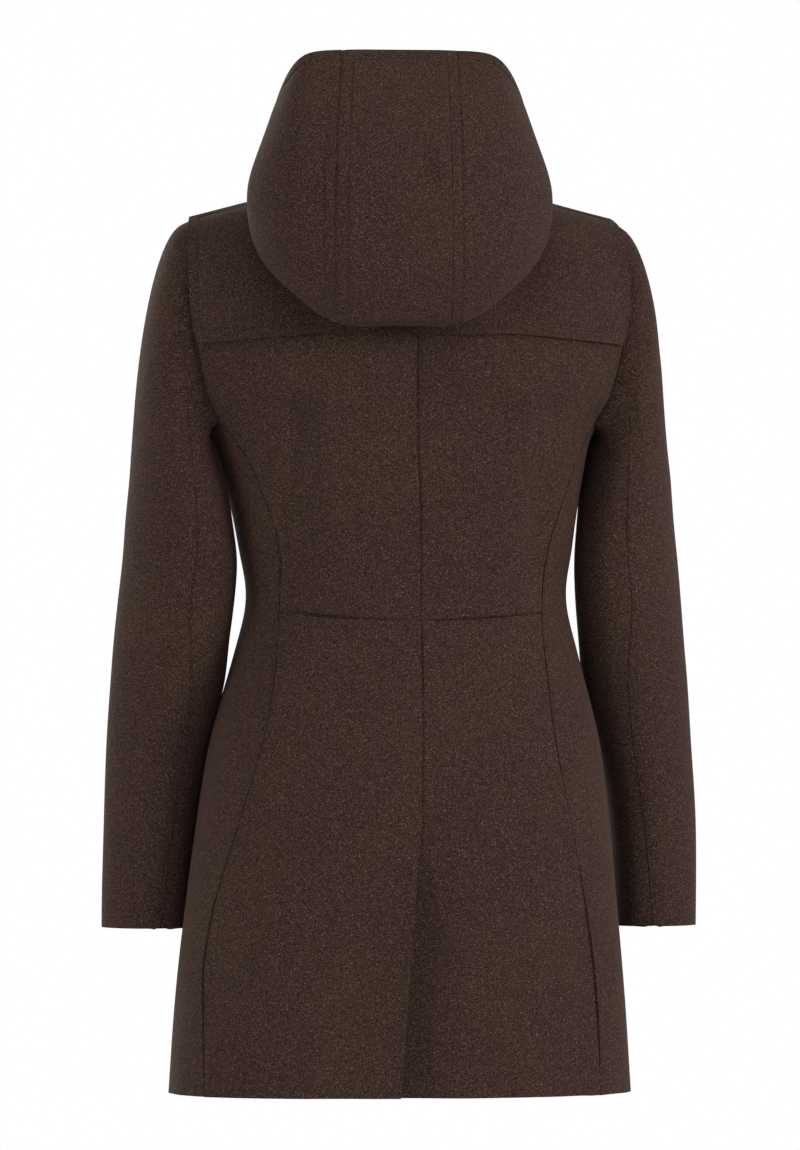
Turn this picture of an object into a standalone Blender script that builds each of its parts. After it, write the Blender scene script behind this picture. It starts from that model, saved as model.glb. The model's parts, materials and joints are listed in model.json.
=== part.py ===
"""A women's hooded duffle coat, hollow and filled out as worn, with its front facing -Y.

Lengths in the tables are millimetres. The origin is the middle of the neck opening, at the height
of the shoulder seam's neck end. +X is the wearer's left.
"""
import math
from collections import namedtuple

import bpy
from mathutils import Vector

MM = 0.001
SIDES = {"left": 1, "right": -1}

# Cloth
WALL = 2.4
HOOD_WALL = 3.0
SEAM_GAP = 0.3
EDGE_TRIM = 0.2             # each panel's edge stands this far back from its seam line
LAY = 0.6                   # clearance under a piece that lies on a panel

# Heights of the coat
HEM = -829
WAIST = -388
WAIST_DIP = 7               # the waist seam sags this far at the centre back
TOP_RING = -208             # where the side panels end
UNDERARM_DROP = 14
UNDERARM_SPREAD = 32        # degrees each side of the underarm over which the top ring drops
VENT_TOP = -567
VENT_STEP = 6               # below the vent's top, over which the underlap steps inwards
WAIST_DIP_SPREAD = (60, 60)  # degrees each way, and the height, over which it fades
MIDDLE_Y = -5               # the rings' front and back halves meet here

# Back vent: the left panel laps over the right one
VENT_DRIFT = 18             # the free edge moves this far to the wearer's left at the hem
VENT_LAP = 48               # reach of the underlap past the centre back
VENT_RECESS = 3.4
VENT_PROUD = 2.5            # the free edge stands out at the hem
VENT_SPREAD = 24            # the underlap reaches out over this height
VentColumn = namedtuple("VentColumn", "closed_x open_x recess")
VENT_COLUMNS = [
    VentColumn(-42, -42, 0.0),
    VentColumn(-26, -16, 0.6),
    VentColumn(-13, -4, 1.0),
    VentColumn(0, VENT_LAP, 1.0),
]

# Front opening: the right front laps over the left one
LAP_OVER = 24
LAP_UNDER = 20
LAP_STEP = 46               # the fronts have a column here, and one at the next
LAP_SHOULDER = 33
LAP_RAMP = 2                # the right front is at its full lift this far past the left one's end
CENTRE = 0.01               # stands for the centre front, where a side is still needed
LAP_LIFT = WALL + 1.1

# Neck and shoulders
NECK_HALF = 85
NECK_SHARE = 0.5            # share of a shoulder panel's width that the neckline takes
NECK_EASE = 1.3             # gathers the neckline's points towards its side
NECKLINE_SINK = 1.4         # how late the neckline drops from the shoulder to the centre
SHOULDER_TIP = Vector((195, 0, -28))
NECK_POINT = Vector((NECK_HALF, 5, 0))
BACK_NECK = Vector((0, 72, -6))
FRONT_NECK = Vector((0, -100, -75))

# Numbers of cells
BACK_CELLS = 6
SIDE_CELLS = 6
FRONT_SHOULDER_CELLS = 3
FRONT_NECK_CELLS = 3
CAP_ROWS = 6

# Sleeve caps: how far each point leaves the armhole sideways, more on the outside, and downwards
CAP_REACH = 20
CAP_SWELL = 74
CAP_FLARE = 18
CAP_DROP = 6
CAP_ARRIVE = 12             # a cap arrives in line with the sleeve this far below its first ring
CAP_TENSION = 1.15

# Shoulder rows, as shares of the way from the top ring to the neck or the shoulder seam
SHOULDER_ROWS = (0.0, 0.11, 0.22, 0.335, 0.46, 0.59, 0.72, 0.86, 1.0)
YOKE_ROW = 3                # the yoke's lower edge runs along this shoulder row
YOKE_LOOSE = 1.5            # the yoke's lower edge stands off by this
YOKE_CORNER = (0.02, 0.02)  # its corners are drawn in by these shares across and up

Ring = namedtuple("Ring", "z half_width back front squareness lean")
RINGS = [
    Ring(-836, 214, 130, -127, 2.30, 0),
    Ring(-745, 207.5, 130, -126, 2.30, -0.5),
    Ring(-658, 199, 129, -125, 2.30, -1.5),
    Ring(-572, 189.5, 127, -123, 2.35, -3),
    Ring(-504, 179, 121, -119, 2.40, -4.3),
    Ring(-433, 160, 106, -113, 2.35, -5.5),
    Ring(-377, 147.5, 95, -109, 2.30, -5.8),
    Ring(-332, 153, 98, -118, 2.40, -5.5),
    Ring(-285, 160.5, 107, -131, 2.60, -4),
    Ring(-240, 170.5, 113, -138, 2.80, -1.2),
    Ring(TOP_RING, 179, 115, -136, 2.90, 0),
]

Seam = namedtuple("Seam", "z back_x front_x drift")  # both back seams drift to the wearer's left
PRINCESS = [
    Seam(-836, 182, 150, 8),
    Seam(-760, 181, 146, 10),
    Seam(-707, 178, 142, 12),
    Seam(-647, 168, 136, 12),
    Seam(-571, 150, 127, 10),
    Seam(-497, 133, 118, 8),
    Seam(-430, 124, 112, 6),
    Seam(-388, 121, 110, 5),
    Seam(-330, 124, 116, 2),
    Seam(-300, 133, 124, 1),
    Seam(-263, 146, 138, 0),
    Seam(-237, 158, 150, 0),
    Seam(TOP_RING, 173, 162, 0),
]

LEVELS = [HEM, -806, -776, -746, -714, -682, -650, -620, -597, VENT_TOP - VENT_STEP, VENT_TOP,
          -536, -504, -472, -444, -416, WAIST, -362, -336, -310, -284, -260, -236, TOP_RING]

Slope = namedtuple("Slope", "share start end")
BACK_SLOPES = [
    Slope(0.0, (0, 6, 190), (0, -90, 110)),
    Slope(0.5, (8, 90, 140), (0, -270, 30)),
    Slope(1.0, (100, 95, 130), (-40, -240, 25)),
]
FRONT_SLOPES = [
    Slope(0.0, (0, 2, 110), (0, 60, 110)),
    Slope(0.5, (4, -70, 150), (0, 230, 90)),
    Slope(1.0, (0, -90, 130), (40, 220, 25)),
]

SleeveRing = namedtuple("SleeveRing", "z outer major minor toe y lean")
SLEEVE_RINGS = [
    SleeveRing(-679, 278, 46.5, 37.2, 30, -72, -10.8),
    SleeveRing(-640, 278, 48, 37.2, 30, -69, -10.8),
    SleeveRing(-600, 277.4, 50, 38, 30, -66, -11),
    SleeveRing(-562, 276.2, 52.5, 39, 30.5, -62, -10.6),
    SleeveRing(-524, 274, 56, 40.3, 31, -56, -9.4),
    SleeveRing(-488, 271.6, 59, 43.2, 31, -48, -8.2),
    SleeveRing(-451, 268.8, 62.5, 46, 30.5, -38, -6.9),
    SleeveRing(-414, 265.6, 65, 46, 29, -28, -5.6),
    SleeveRing(-377, 262, 67, 46.5, 27, -20, -5.2),
    SleeveRing(-340, 258, 68, 46.5, 23, -15, -5),
    SleeveRing(-300, 254, 69, 44.5, 15, -11, -3.6),
    SleeveRing(-270, 251, 70, 42.5, 8, -9, -3),
    SleeveRing(-240, 248, 71, 38.5, 2, -8, -1.2),
]
SLEEVE_LEVELS = [-265, -290, -315, -340, -365, -390, -420, -450, -480, -510, -545, -580, -613,
                 -646, -679]

SleeveSeam = namedtuple("SleeveSeam", "z back front")   # angles from the outside, round by the back
SLEEVE_SEAMS = [
    SleeveSeam(-679, 66, 286),
    SleeveSeam(-600, 73, 286),
    SleeveSeam(-514, 73, 286),
    SleeveSeam(-450, 69, 286),
    SleeveSeam(-377, 61, 284),
    SleeveSeam(-310, 75, 270),
    SleeveSeam(-240, 97, 256),
]
BACK_SEAM_CELL = 6
FRONT_SEAM_CELL = 16
SLEEVE_CELLS = 22

# Hood: stations from the centre back to the front, each a path from the neck seam to the rim
HoodStation = namedtuple("HoodStation", "neck stand over inner fold low wall high rim")
HOOD_STATIONS = [
    HoodStation(0.00, (0, 90, 26), (0, 112, 12), (0, 130, -56), (0, 152, -129),
                (0, 186, -96), (0, 200, -15), (0, 186, 56), (0, 146, 121.5)),
    HoodStation(0.15, (33, 86, 26), (40, 108, 12), (50, 126, -54), (56, 149, -127),
                (58, 180, -94), (58, 193, -15), (56, 181, 56), (53, 144, 121)),
    HoodStation(0.29, (66, 68, 26), (76, 90, 14), (88, 114, -38), (94, 138, -102),
                (104, 162, -72), (109, 168, -10), (99, 163, 58), (87, 138, 116.5)),
    HoodStation(0.41, (91, 40, 26), (102, 58, 18), (115, 84, -14), (124, 112, -70),
                (133, 120, -46), (137, 121, -2), (120, 122, 53), (106, 110, 95)),
    HoodStation(0.49, (98, 8, 22), (108, 22, 20), (121, 46, -2), (134, 74, -36),
                (140, 77, -20), (136.5, 75, 6), (125.5, 75, 41), (118.5, 72, 60)),
    HoodStation(0.56, (96, -22, 12), (105, -18, 15), (115, -8, 10), (124, 4, 3),
                (129, 8, 7), (130, 9, 12), (128, 10, 17), (124, 10, 22)),
    HoodStation(0.70, (72, -68, -28), (78, -66, -18), (84, -63, -12), (89, -60, -10),
                (92, -59, -8), (93, -58, -5), (92, -57, -2), (90, -56, 2)),
    HoodStation(0.81, (40, -94, -58), (43, -96, -52), (45, -96, -48), (47, -95, -45),
                (48, -95, -42), (48, -94, -39), (48, -93, -36), (47, -92, -33)),
]
HOOD_STATION_CELLS = (3, 2, 2, 2, 2, 2, 1)
HOOD_PATH = ("stand", "over", "inner", "fold", "low", "wall", "high", "rim")
HOOD_PATH_CELLS = (1, 1, 3, 3, 2, 3, 3, 3)
HOOD_SKEW = 0.143           # the hood hangs over to the wearer's left by this share of its depth
HOOD_SEAT = 2.6             # the hood's edge stands this far off the yoke's edge

# Closing: four rows of a toggle, two cord loops and two patches
TOGGLE_LEVELS = (-236, -338, -440, -542)
TOGGLE_X = 12
TOGGLE_LENGTH = 52
TOGGLE_RADIUS = 6.5
TOGGLE_SEAT = -0.1          # its waist, thinner than its ends, lies just off the cord
CORD_RADIUS = 2.0
CORD_SPREAD = 5.0           # each cord strand lies this far above or below the row's middle
CORD_RISE = LAP_LIFT + 0.9 + CORD_RADIUS
CORD_ENDS = {"left": (14, 72), "right": (10, -62)}
PATCH_SPANS = {"left": (62, 100), "right": (-52, -90)}
PATCH_LAY = 0.9
PATCH_WALL = 2.8
PATCH_HALF_HEIGHTS = (11, 21)

Finish = namedtuple("Finish", "colour roughness")
FINISHES = {
    "wool": Finish((0.040, 0.024, 0.019, 1.0), 0.9),
    "horn": Finish((0.030, 0.016, 0.010, 1.0), 0.45),
    "cord": Finish((0.018, 0.011, 0.009, 1.0), 0.9),
    "leather": Finish((0.022, 0.013, 0.010, 1.0), 0.9),
}


def slopes_at(keys, values):
    """Give each key of a table the slope that a smooth curve has there."""
    slopes = []
    for i in range(len(keys)):
        before, after = max(i - 1, 0), min(i + 1, len(keys) - 1)
        slopes.append((values[after] - values[before]) / (keys[after] - keys[before]))
    return slopes


def smooth_read(keys, values, key):
    """Read a smooth curve through (keys, values), whose keys rise."""
    key = min(max(key, keys[0]), keys[-1])
    i = max(j for j in range(len(keys) - 1) if keys[j] <= key)
    slopes = slopes_at(keys, values)
    span = keys[i + 1] - keys[i]
    return hermite(values[i], slopes[i] * span, values[i + 1], slopes[i + 1] * span, (key - keys[i]) / span)


def hermite(start, leave, end, arrive, t):
    """Blend two ends with their tangents, at t from 0 to 1."""
    ends = start * (2 * t**3 - 3 * t**2 + 1) + end * (3 * t**2 - 2 * t**3)
    return ends + leave * (t**3 - 2 * t**2 + t) + arrive * (t**3 - t**2)


def column_of(table, name):
    """Give one named column of a table as numbers or vectors."""
    values = [getattr(row, name) for row in table]
    return [Vector(value) if isinstance(value, tuple) else value for value in values]


def read_table(table, key_name, name, key):
    """Read a named column of a table smoothly at a key."""
    return smooth_read(column_of(table, key_name), column_of(table, name), key)


# The coat's body below the underarm: rings, read by height and by angle from the centre back.

def ring_point(z, angle):
    """Point of the body at a height and an angle."""
    half_width = read_table(RINGS, "z", "half_width", z)
    power = read_table(RINGS, "z", "squareness", z)
    across, along = math.sin(math.radians(angle)), math.cos(math.radians(angle))
    depth = abs(read_table(RINGS, "z", "back" if along > 0 else "front", z) - MIDDLE_Y)
    radius = (abs(across / half_width) ** power + abs(along / depth) ** power) ** (-1 / power)
    x = radius * across + read_table(RINGS, "z", "lean", z)
    return Vector((x, MIDDLE_Y + radius * along, level_height(z, angle)))


def level_height(z, angle):
    """Let the waist seam sag at the centre back and the top ring drop under the arm."""
    if z == TOP_RING:
        share = min(1.0, ((abs(angle) - 90) / UNDERARM_SPREAD) ** 2)
        return z - UNDERARM_DROP * (1 - share) ** 2
    degrees, height = WAIST_DIP_SPREAD
    centre = max(0.0, 1 - (angle / degrees) ** 2)
    return z - WAIST_DIP * centre * math.exp(-((z - WAIST) / height) ** 2)


def ring_angle(z, x, face):
    """Angle of the point of a ring that lies x to the side, on its back or its front."""
    half_width = read_table(RINGS, "z", "half_width", z)
    power = read_table(RINGS, "z", "squareness", z)
    depth = abs(read_table(RINGS, "z", face, z) - MIDDLE_Y)
    along = depth * (1 - abs(x / half_width) ** power) ** (1 / power)
    angle = math.degrees(math.atan2(x, along))
    return angle if face == "back" else math.copysign(180, x or 1) - angle


def princess_angle(z, face, sign):
    """Angle of the seam between a side panel and the back or the front."""
    x = sign * read_table(PRINCESS, "z", face + "_x", z)
    if face == "back":
        x += read_table(PRINCESS, "z", "drift", z)
    return ring_angle(z, x, face)


# The body above the underarm: columns that run from the top ring to the neck or the shoulder seam.

def top_edge(share, face):
    """Neckline, then the shoulder seam out to the tip, for a share from 0 at the centre to 1."""
    share, sign = abs(share), math.copysign(1, share)
    if share <= NECK_SHARE:
        turn = math.radians(90) * (share / NECK_SHARE) ** NECK_EASE
        centre = BACK_NECK if face == "back" else FRONT_NECK
        edge = Vector((NECK_POINT.x * math.sin(turn),
                       NECK_POINT.y + (centre.y - NECK_POINT.y) * math.cos(turn),
                       centre.z * math.cos(turn) ** NECKLINE_SINK))
    else:
        edge = NECK_POINT.lerp(SHOULDER_TIP, (share - NECK_SHARE) / (1 - NECK_SHARE))
    return Vector((sign * edge.x, edge.y, edge.z))


def shoulder_point(share, t, face):
    """Point of a shoulder column: share 0 at the centre, 1 at the armhole; t 0 at the ring, 1 at the top."""
    size, sign = min(abs(share), 1.15), math.copysign(1, share)
    table = BACK_SLOPES if face == "back" else FRONT_SLOPES
    reach = princess_angle(TOP_RING, face, 1)
    start_angle = reach * size if face == "back" else 180 - (180 - reach) * size
    leave = read_table(table, "share", "start", size)
    arrive = read_table(table, "share", "end", size)
    point = hermite(ring_point(TOP_RING, start_angle), leave, top_edge(size, face), arrive, t)
    return Vector((sign * point.x, point.y, point.z))


def outward(point_at, u, v, du, dv):
    """Unit normal of a surface function, pointing away from the middle of the body."""
    along = point_at(u + du, v) - point_at(u - du, v)
    up = point_at(u, v + dv) - point_at(u, v - dv)
    normal = along.cross(up).normalized()
    centre = Vector((0, MIDDLE_Y, min(point_at(u, v).z, -120)))
    return normal if normal.dot(point_at(u, v) - centre) > 0 else -normal


def ring_normal(z, angle):
    """Outward normal of the body at a height and an angle."""
    inside = min(max(z, HEM + 2), TOP_RING - 2)
    return outward(ring_point, inside, angle, 1.0, 1.0)


def shoulder_normal(share, t, face):
    """Outward normal of a shoulder column; straight up along the shoulder seam."""
    if t > 0.999 and abs(share) > NECK_SHARE - 0.001:
        return Vector((math.copysign(0.25, share), 0, 1)).normalized()
    if abs(share) < 0.001:
        share = 0.001
    return outward(lambda s, h: shoulder_point(s, h, face), share, min(max(t, 0.02), 0.98), 0.01, 0.01)


# Panels: grids of outer points with normals, given a wall's thickness.

Column = namedtuple("Column", "angle share lift")


def plain(value):
    """A column value that is the same at each height."""
    return lambda z: value


def body_grid(columns, levels, face=None):
    """Outer points and normals over ring levels, then over shoulder rows where a face is given."""
    points, normals = [], []
    for z in levels:
        normals.append([ring_normal(z, column.angle(z)) for column in columns])
        points.append([ring_point(z, column.angle(z)) + normal * column.lift(z)
                       for column, normal in zip(columns, normals[-1])])
    for t in SHOULDER_ROWS[1:] if face else ():
        normals.append([shoulder_normal(column.share, t, face) for column in columns])
        points.append([shoulder_point(column.share, t, face) + normal * column.lift(TOP_RING)
                       for column, normal in zip(columns, normals[-1])])
    return points, normals


def trimmed(points, sides, trim=EDGE_TRIM):
    """Pull the named edges of a grid back from their seam lines."""
    grid = [[point.copy() for point in row] for row in points]
    for i, row in enumerate(points):
        if "start" in sides:
            grid[i][0] += (row[1] - row[0]).normalized() * trim
        if "end" in sides:
            grid[i][-1] += (row[-2] - row[-1]).normalized() * trim
    for j in range(len(points[0])):
        if "bottom" in sides:
            grid[0][j] += (points[1][j] - points[0][j]).normalized() * trim
        if "top" in sides:
            grid[-1][j] += (points[-2][j] - points[-1][j]).normalized() * trim
    return grid


def wall_mesh(name, points, normals, wall=WALL):
    """Closed wall between a grid of outer points and the same grid moved inwards.

    Each cell is split along the diagonal that rises away from the middle of the coat, so that
    walls made from the same points lie evenly on each other.
    """
    rows, columns = len(points), len(points[0])
    outer = [point for row in points for point in row]
    inner = [point - normal * wall for row, turned in zip(points, normals)
             for point, normal in zip(row, turned)]
    shift = len(outer)
    faces = []
    for i in range(rows - 1):
        for j in range(columns - 1):
            a = i * columns + j
            b, c, d = a + 1, a + 1 + columns, a + columns
            if abs(outer[a].x) > abs(outer[b].x):
                a, b, c, d = b, c, d, a
            for corners in ((a, b, c), (a, c, d)):
                faces.append(corners)
                faces.append([shift + corner for corner in corners[::-1]])
    rim = list(range(columns)) + [i * columns + columns - 1 for i in range(1, rows)]
    rim += [(rows - 1) * columns + j for j in range(columns - 2, -1, -1)]
    rim += [i * columns for i in range(rows - 2, 0, -1)]
    for a, b in zip(rim, rim[1:] + rim[:1]):
        faces.append((b, a, shift + a, shift + b))
    mesh = bpy.data.meshes.new(name)
    mesh.from_pydata([point * MM for point in outer + inner], [], faces)
    mesh.validate()
    return mesh


def face_outwards(mesh):
    """Turn a closed mesh the right way out."""
    volume = 0.0
    for polygon in mesh.polygons:
        corners = [mesh.vertices[i].co for i in polygon.vertices]
        for second, third in zip(corners[1:], corners[2:]):
            volume += corners[0].dot(second.cross(third))
    if volume < 0:
        mesh.flip_normals()


def finish_material(name, owner):
    """Plain material of a named finish, for one object."""
    material = bpy.data.materials.new(owner + "_" + name)
    material.use_nodes = True
    shader = material.node_tree.nodes["Principled BSDF"]
    shader.inputs["Base Color"].default_value = FINISHES[name].colour
    shader.inputs["Roughness"].default_value = FINISHES[name].roughness
    shader.inputs["Metallic"].default_value = 0.0
    return material


def add_object(name, mesh, finish, collection):
    """Link a closed mesh as a named object with a material of its own."""
    face_outwards(mesh)
    material = finish_material(finish, name)
    mesh.materials.append(material)
    item = bpy.data.objects.new(name, mesh)
    collection.objects.link(item)
    return item


def add_panel(name, grid, collection, sides=(), wall=WALL):
    """Make a panel of a grid, its named sides drawn back for the seams."""
    points, normals = grid
    mesh = wall_mesh(name, trimmed(points, sides), normals, wall)
    return add_object(name, mesh, "wool", collection)


def even_columns(start, end, cells, reach):
    """Columns at equal steps between two seams, whose angles are functions of height."""
    columns = []
    for k in range(cells + 1):
        part = k / cells

        def angle(z, part=part):
            return start(z) * (1 - part) + end(z) * part

        columns.append(Column(angle, reach(angle), plain(0.0)))
    return columns


def back_share(angle):
    """Where a back column goes on above the top ring, as a share of the back's width."""
    return angle(TOP_RING) / princess_angle(TOP_RING, "back", 1)


def front_share(angle):
    """Where a front column goes on above the top ring, as a share of the front's width."""
    turned = 180 - abs(angle(TOP_RING))
    reach = 180 - princess_angle(TOP_RING, "front", 1)
    return turned / reach * math.copysign(1, angle(TOP_RING))


def vent_share(z):
    """0 at the vent's top, 1 at the hem."""
    return max(0.0, (VENT_TOP - z) / (VENT_TOP - HEM))


def build_back(collection):
    """Two upper panels, and two lower ones that lap at the vent."""
    upper_levels = [z for z in LEVELS if z >= WAIST]
    lower_levels = [z for z in LEVELS if z <= WAIST]
    for name, sign in SIDES.items():
        def seam(z, sign=sign):
            return princess_angle(z, "back", sign)

        columns = even_columns(plain(0.0), seam, BACK_CELLS, back_share)
        grid = body_grid(columns, upper_levels, "back")
        add_panel("back_upper_" + name, grid, collection, ("start", "end", "bottom", "top"))

    def left_edge(z):
        return ring_angle(z, VENT_DRIFT * vent_share(z), "back")

    def left_seam(z):
        return princess_angle(z, "back", 1)

    columns = even_columns(left_edge, left_seam, BACK_CELLS, back_share)
    columns[0] = columns[0]._replace(lift=lambda z: VENT_PROUD * vent_share(z))
    add_panel("back_lower_left", body_grid(columns, lower_levels), collection, ("start", "end", "top"))
    columns = underlap_columns()
    add_panel("back_lower_right", body_grid(columns, lower_levels), collection, ("start", "end", "top"))


def underlap_columns():
    """The right back panel below the waist, whose end steps in and runs on under the left one."""
    def seam(z):
        return princess_angle(z, "back", -1)

    columns = []
    for row in VENT_COLUMNS:
        def angle(z, row=row):
            x = row.closed_x
            if z < VENT_TOP - VENT_STEP:
                opened = min(1.0, (VENT_TOP - VENT_STEP - z) / VENT_SPREAD)
                drift = VENT_DRIFT * vent_share(z) if row.open_x < VENT_LAP else 0
                x = row.closed_x + (row.open_x + drift - row.closed_x) * opened
            return ring_angle(z, x, "back")

        def lift(z, row=row):
            opened = min(1.0, max(0.0, (VENT_TOP - z) / VENT_STEP))
            return -VENT_RECESS * row.recess * opened

        columns.append(Column(angle, 0.0, lift))
    plain_columns = even_columns(seam, columns[0].angle, BACK_CELLS - 2, back_share)
    return plain_columns[:-1] + columns


def build_sides(collection):
    """A side panel on each side, from the underarm to the hem."""
    for name, sign in SIDES.items():
        def back_seam(z, sign=sign):
            return princess_angle(z, "back", sign)

        def front_seam(z, sign=sign):
            return princess_angle(z, "front", sign)

        columns = even_columns(back_seam, front_seam, SIDE_CELLS, plain(0.0))
        add_panel("side_" + name, body_grid(columns, LEVELS), collection, ("start", "end", "top"))


def front_column(x, lift=0.0):
    """A front column at a fixed distance from the centre front."""
    def angle(z):
        return ring_angle(z, x, "front")

    return Column(angle, front_share(angle), plain(lift))


def front_columns(sign):
    """Columns from the princess seam to the lap, one of them at the shoulder seam's neck end."""
    def seam(z):
        return princess_angle(z, "front", sign)

    inner = front_column(sign * LAP_STEP)
    neck_part = (1 - NECK_SHARE) / (1 - abs(inner.share))

    def neck(z):
        return seam(z) * (1 - neck_part) + inner.angle(z) * neck_part

    outer = even_columns(seam, neck, FRONT_SHOULDER_CELLS, front_share)
    return outer[:-1] + even_columns(neck, inner.angle, FRONT_NECK_CELLS, front_share)


def lap_columns():
    """The end of the upper front, which steps out over the lower one."""
    lapped = [front_column(x, LAP_LIFT) for x in (-LAP_UNDER - LAP_RAMP, CENTRE, LAP_OVER)]
    return [front_column(-LAP_SHOULDER)] + lapped


def build_fronts(collection):
    """Upper and lower fronts, the right one lapping over the left one."""
    upper_levels = [z for z in LEVELS if z >= WAIST]
    lower_levels = [z for z in LEVELS if z <= WAIST]
    left = front_columns(1) + [front_column(x) for x in (LAP_SHOULDER, LAP_OVER, CENTRE, -LAP_UNDER)]
    right = front_columns(-1) + lap_columns()
    for name, columns in (("left", left), ("right", right)):
        grid = body_grid(columns, upper_levels, "front")
        add_panel("front_upper_" + name, grid, collection, ("start", "bottom", "top"))
        grid = body_grid(columns, lower_levels)
        add_panel("front_lower_" + name, grid, collection, ("start", "top"))


def build_yokes(collection):
    """The loose yoke, made from the points of the panels that it lies on."""
    rows = SHOULDER_ROWS[YOKE_ROW:]
    shares = [k / BACK_CELLS for k in range(-BACK_CELLS, BACK_CELLS + 1)]
    grid = yoke_grid([(share, 0.0) for share in shares], rows, "back")
    add_panel("yoke_back", grid, collection, ("start", "end", "top"))
    columns = front_columns(1) + [front_column(LAP_SHOULDER)]
    grid = yoke_grid([(column.share, 0.0) for column in columns], rows, "front")
    add_panel("yoke_front_left", grid, collection, ("start", "top"))
    columns = front_columns(-1) + lap_columns()
    grid = yoke_grid([(column.share, column.lift(TOP_RING)) for column in columns], rows, "front")
    add_panel("yoke_front_right", grid, collection, ("start", "end", "top"))


def yoke_grid(places, rows, face):
    """Points of the panels under the yoke, moved out."""
    points, normals = [], []
    for row in rows:
        loose = YOKE_LOOSE if row == rows[0] else 0.0
        drawn = [yoke_place(share, row) for share, lift in places]
        normals.append([shoulder_normal(share, height, face) for share, height in drawn])
        points.append([shoulder_point(share, height, face) + normal * (lift + LAY + WALL + loose)
                       for (share, height), (_, lift), normal in zip(drawn, places, normals[-1])])
    return points, normals


def yoke_place(share, row):
    """Share and row of a yoke point, drawn in at the lower corners by the armholes."""
    if row > SHOULDER_ROWS[YOKE_ROW] or abs(share) < 1:
        return share, row
    across, up = YOKE_CORNER
    return share * (1 - across), row + up


# Sleeves: a cap that runs from the armhole to the first ring, then rings down to the cuff.

def sleeve_ring(z, turn, sign):
    """Point of a sleeve at a height, turned round from its outside by way of the back."""
    outer = read_table(SLEEVE_RINGS, "z", "outer", z)
    major = read_table(SLEEVE_RINGS, "z", "major", z)
    minor = read_table(SLEEVE_RINGS, "z", "minor", z)
    toe = math.radians(read_table(SLEEVE_RINGS, "z", "toe", z))
    middle_y = read_table(SLEEVE_RINGS, "z", "y", z)
    middle_x = outer - math.hypot(major * math.sin(toe), minor * math.cos(toe))
    across, along = minor * math.cos(math.radians(turn)), major * math.sin(math.radians(turn))
    x = middle_x + across * math.cos(toe) - along * math.sin(toe)
    y = middle_y + across * math.sin(toe) + along * math.cos(toe)
    return Vector((sign * x + read_table(SLEEVE_RINGS, "z", "lean", z), y, z))


def armhole_loop(sign):
    """Points of the armhole with the way out of the panel at each, from the tip round by the back."""
    loop = []

    def add_column(face, rows):
        for t in rows:
            point = shoulder_point(sign, t, face)
            loop.append((point, (point - shoulder_point(sign * 0.93, t, face)).normalized()))

    add_column("back", SHOULDER_ROWS[:0:-1])
    start, end = princess_angle(TOP_RING, "back", sign), princess_angle(TOP_RING, "front", sign)
    for k in range(SIDE_CELLS + 1):
        angle = start + (end - start) * k / SIDE_CELLS
        loop.append((ring_point(TOP_RING, angle), Vector((0, 0, 1))))
    add_column("front", SHOULDER_ROWS[1:-1])
    return loop


def sleeve_points(sign):
    """Rows of points from the armhole to the cuff."""
    loop = armhole_loop(sign)
    top = SLEEVE_RINGS[-1].z
    rows = []
    for step in range(CAP_ROWS + 1):
        row = []
        for cell, (point, way_out) in enumerate(loop):
            turn = sleeve_turn(cell, top)
            start = point + way_out * SEAM_GAP
            end = sleeve_ring(top, turn, sign)
            open_share = (1 + math.cos(math.radians(turn))) / 2
            leave = Vector((sign * (CAP_REACH + CAP_SWELL * open_share),
                            CAP_FLARE * math.sin(math.radians(turn)), -CAP_DROP))
            way_in = sleeve_ring(top - CAP_ARRIVE, sleeve_turn(cell, top - CAP_ARRIVE), sign) - end
            arrive = way_in.normalized() * (end - start).length * CAP_TENSION
            row.append(hermite(start, leave, end, arrive, step / CAP_ROWS))
        rows.append(row)
    rows += [[sleeve_ring(z, sleeve_turn(cell, z), sign) for cell in range(SLEEVE_CELLS)]
             for z in SLEEVE_LEVELS]
    return rows


def sleeve_turn(cell, z):
    """Angle of a cell's line round the sleeve, evenly spread between the two seams."""
    cells = (0, BACK_SEAM_CELL, (BACK_SEAM_CELL + FRONT_SEAM_CELL) / 2, FRONT_SEAM_CELL, SLEEVE_CELLS)
    back = read_table(SLEEVE_SEAMS, "z", "back", z)
    angles = (0, back, 180, read_table(SLEEVE_SEAMS, "z", "front", z), 360)
    k = max(i for i in range(len(cells) - 1) if cells[i] <= cell)
    part = (cell - cells[k]) / (cells[k + 1] - cells[k])
    return angles[k] + (angles[k + 1] - angles[k]) * part


def tube_normals(rows):
    """Normals of a closed tube of rows, pointing away from each row's middle."""
    normals = []
    for i, row in enumerate(rows):
        before, after = rows[max(i - 1, 0)], rows[min(i + 1, len(rows) - 1)]
        middle = sum(row, Vector()) / len(row)
        turned = []
        for j, point in enumerate(row):
            around = row[(j + 1) % len(row)] - row[j - 1]
            normal = around.cross(after[j] - before[j]).normalized()
            turned.append(normal)
        inward = sum(1 for point, normal in zip(row, turned) if normal.dot(point - middle) < 0)
        if inward > len(row) / 2:
            turned = [-normal for normal in turned]
        normals.append(turned)
    return normals


def build_sleeves(collection):
    """An upper and an under sleeve on each side."""
    for name, sign in SIDES.items():
        rows = sleeve_points(sign)
        normals = tube_normals(rows)
        for j, (point, way_out) in enumerate(armhole_loop(sign)):
            lean = max(0.0, normals[0][j].dot(way_out) + 0.1)
            normals[0][j] = (normals[0][j] - way_out * lean).normalized()
        count = len(rows[0])
        spans = {
            "sleeve_under_": range(BACK_SEAM_CELL, FRONT_SEAM_CELL + 1),
            "sleeve_upper_": range(FRONT_SEAM_CELL, count + BACK_SEAM_CELL + 1),
        }
        for piece, span in spans.items():
            grid = [[row[j % count] for j in span] for row in rows]
            turned = [[row[j % count] for j in span] for row in normals]
            add_panel(piece + name, (grid, turned), collection, ("start", "end"))


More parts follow.
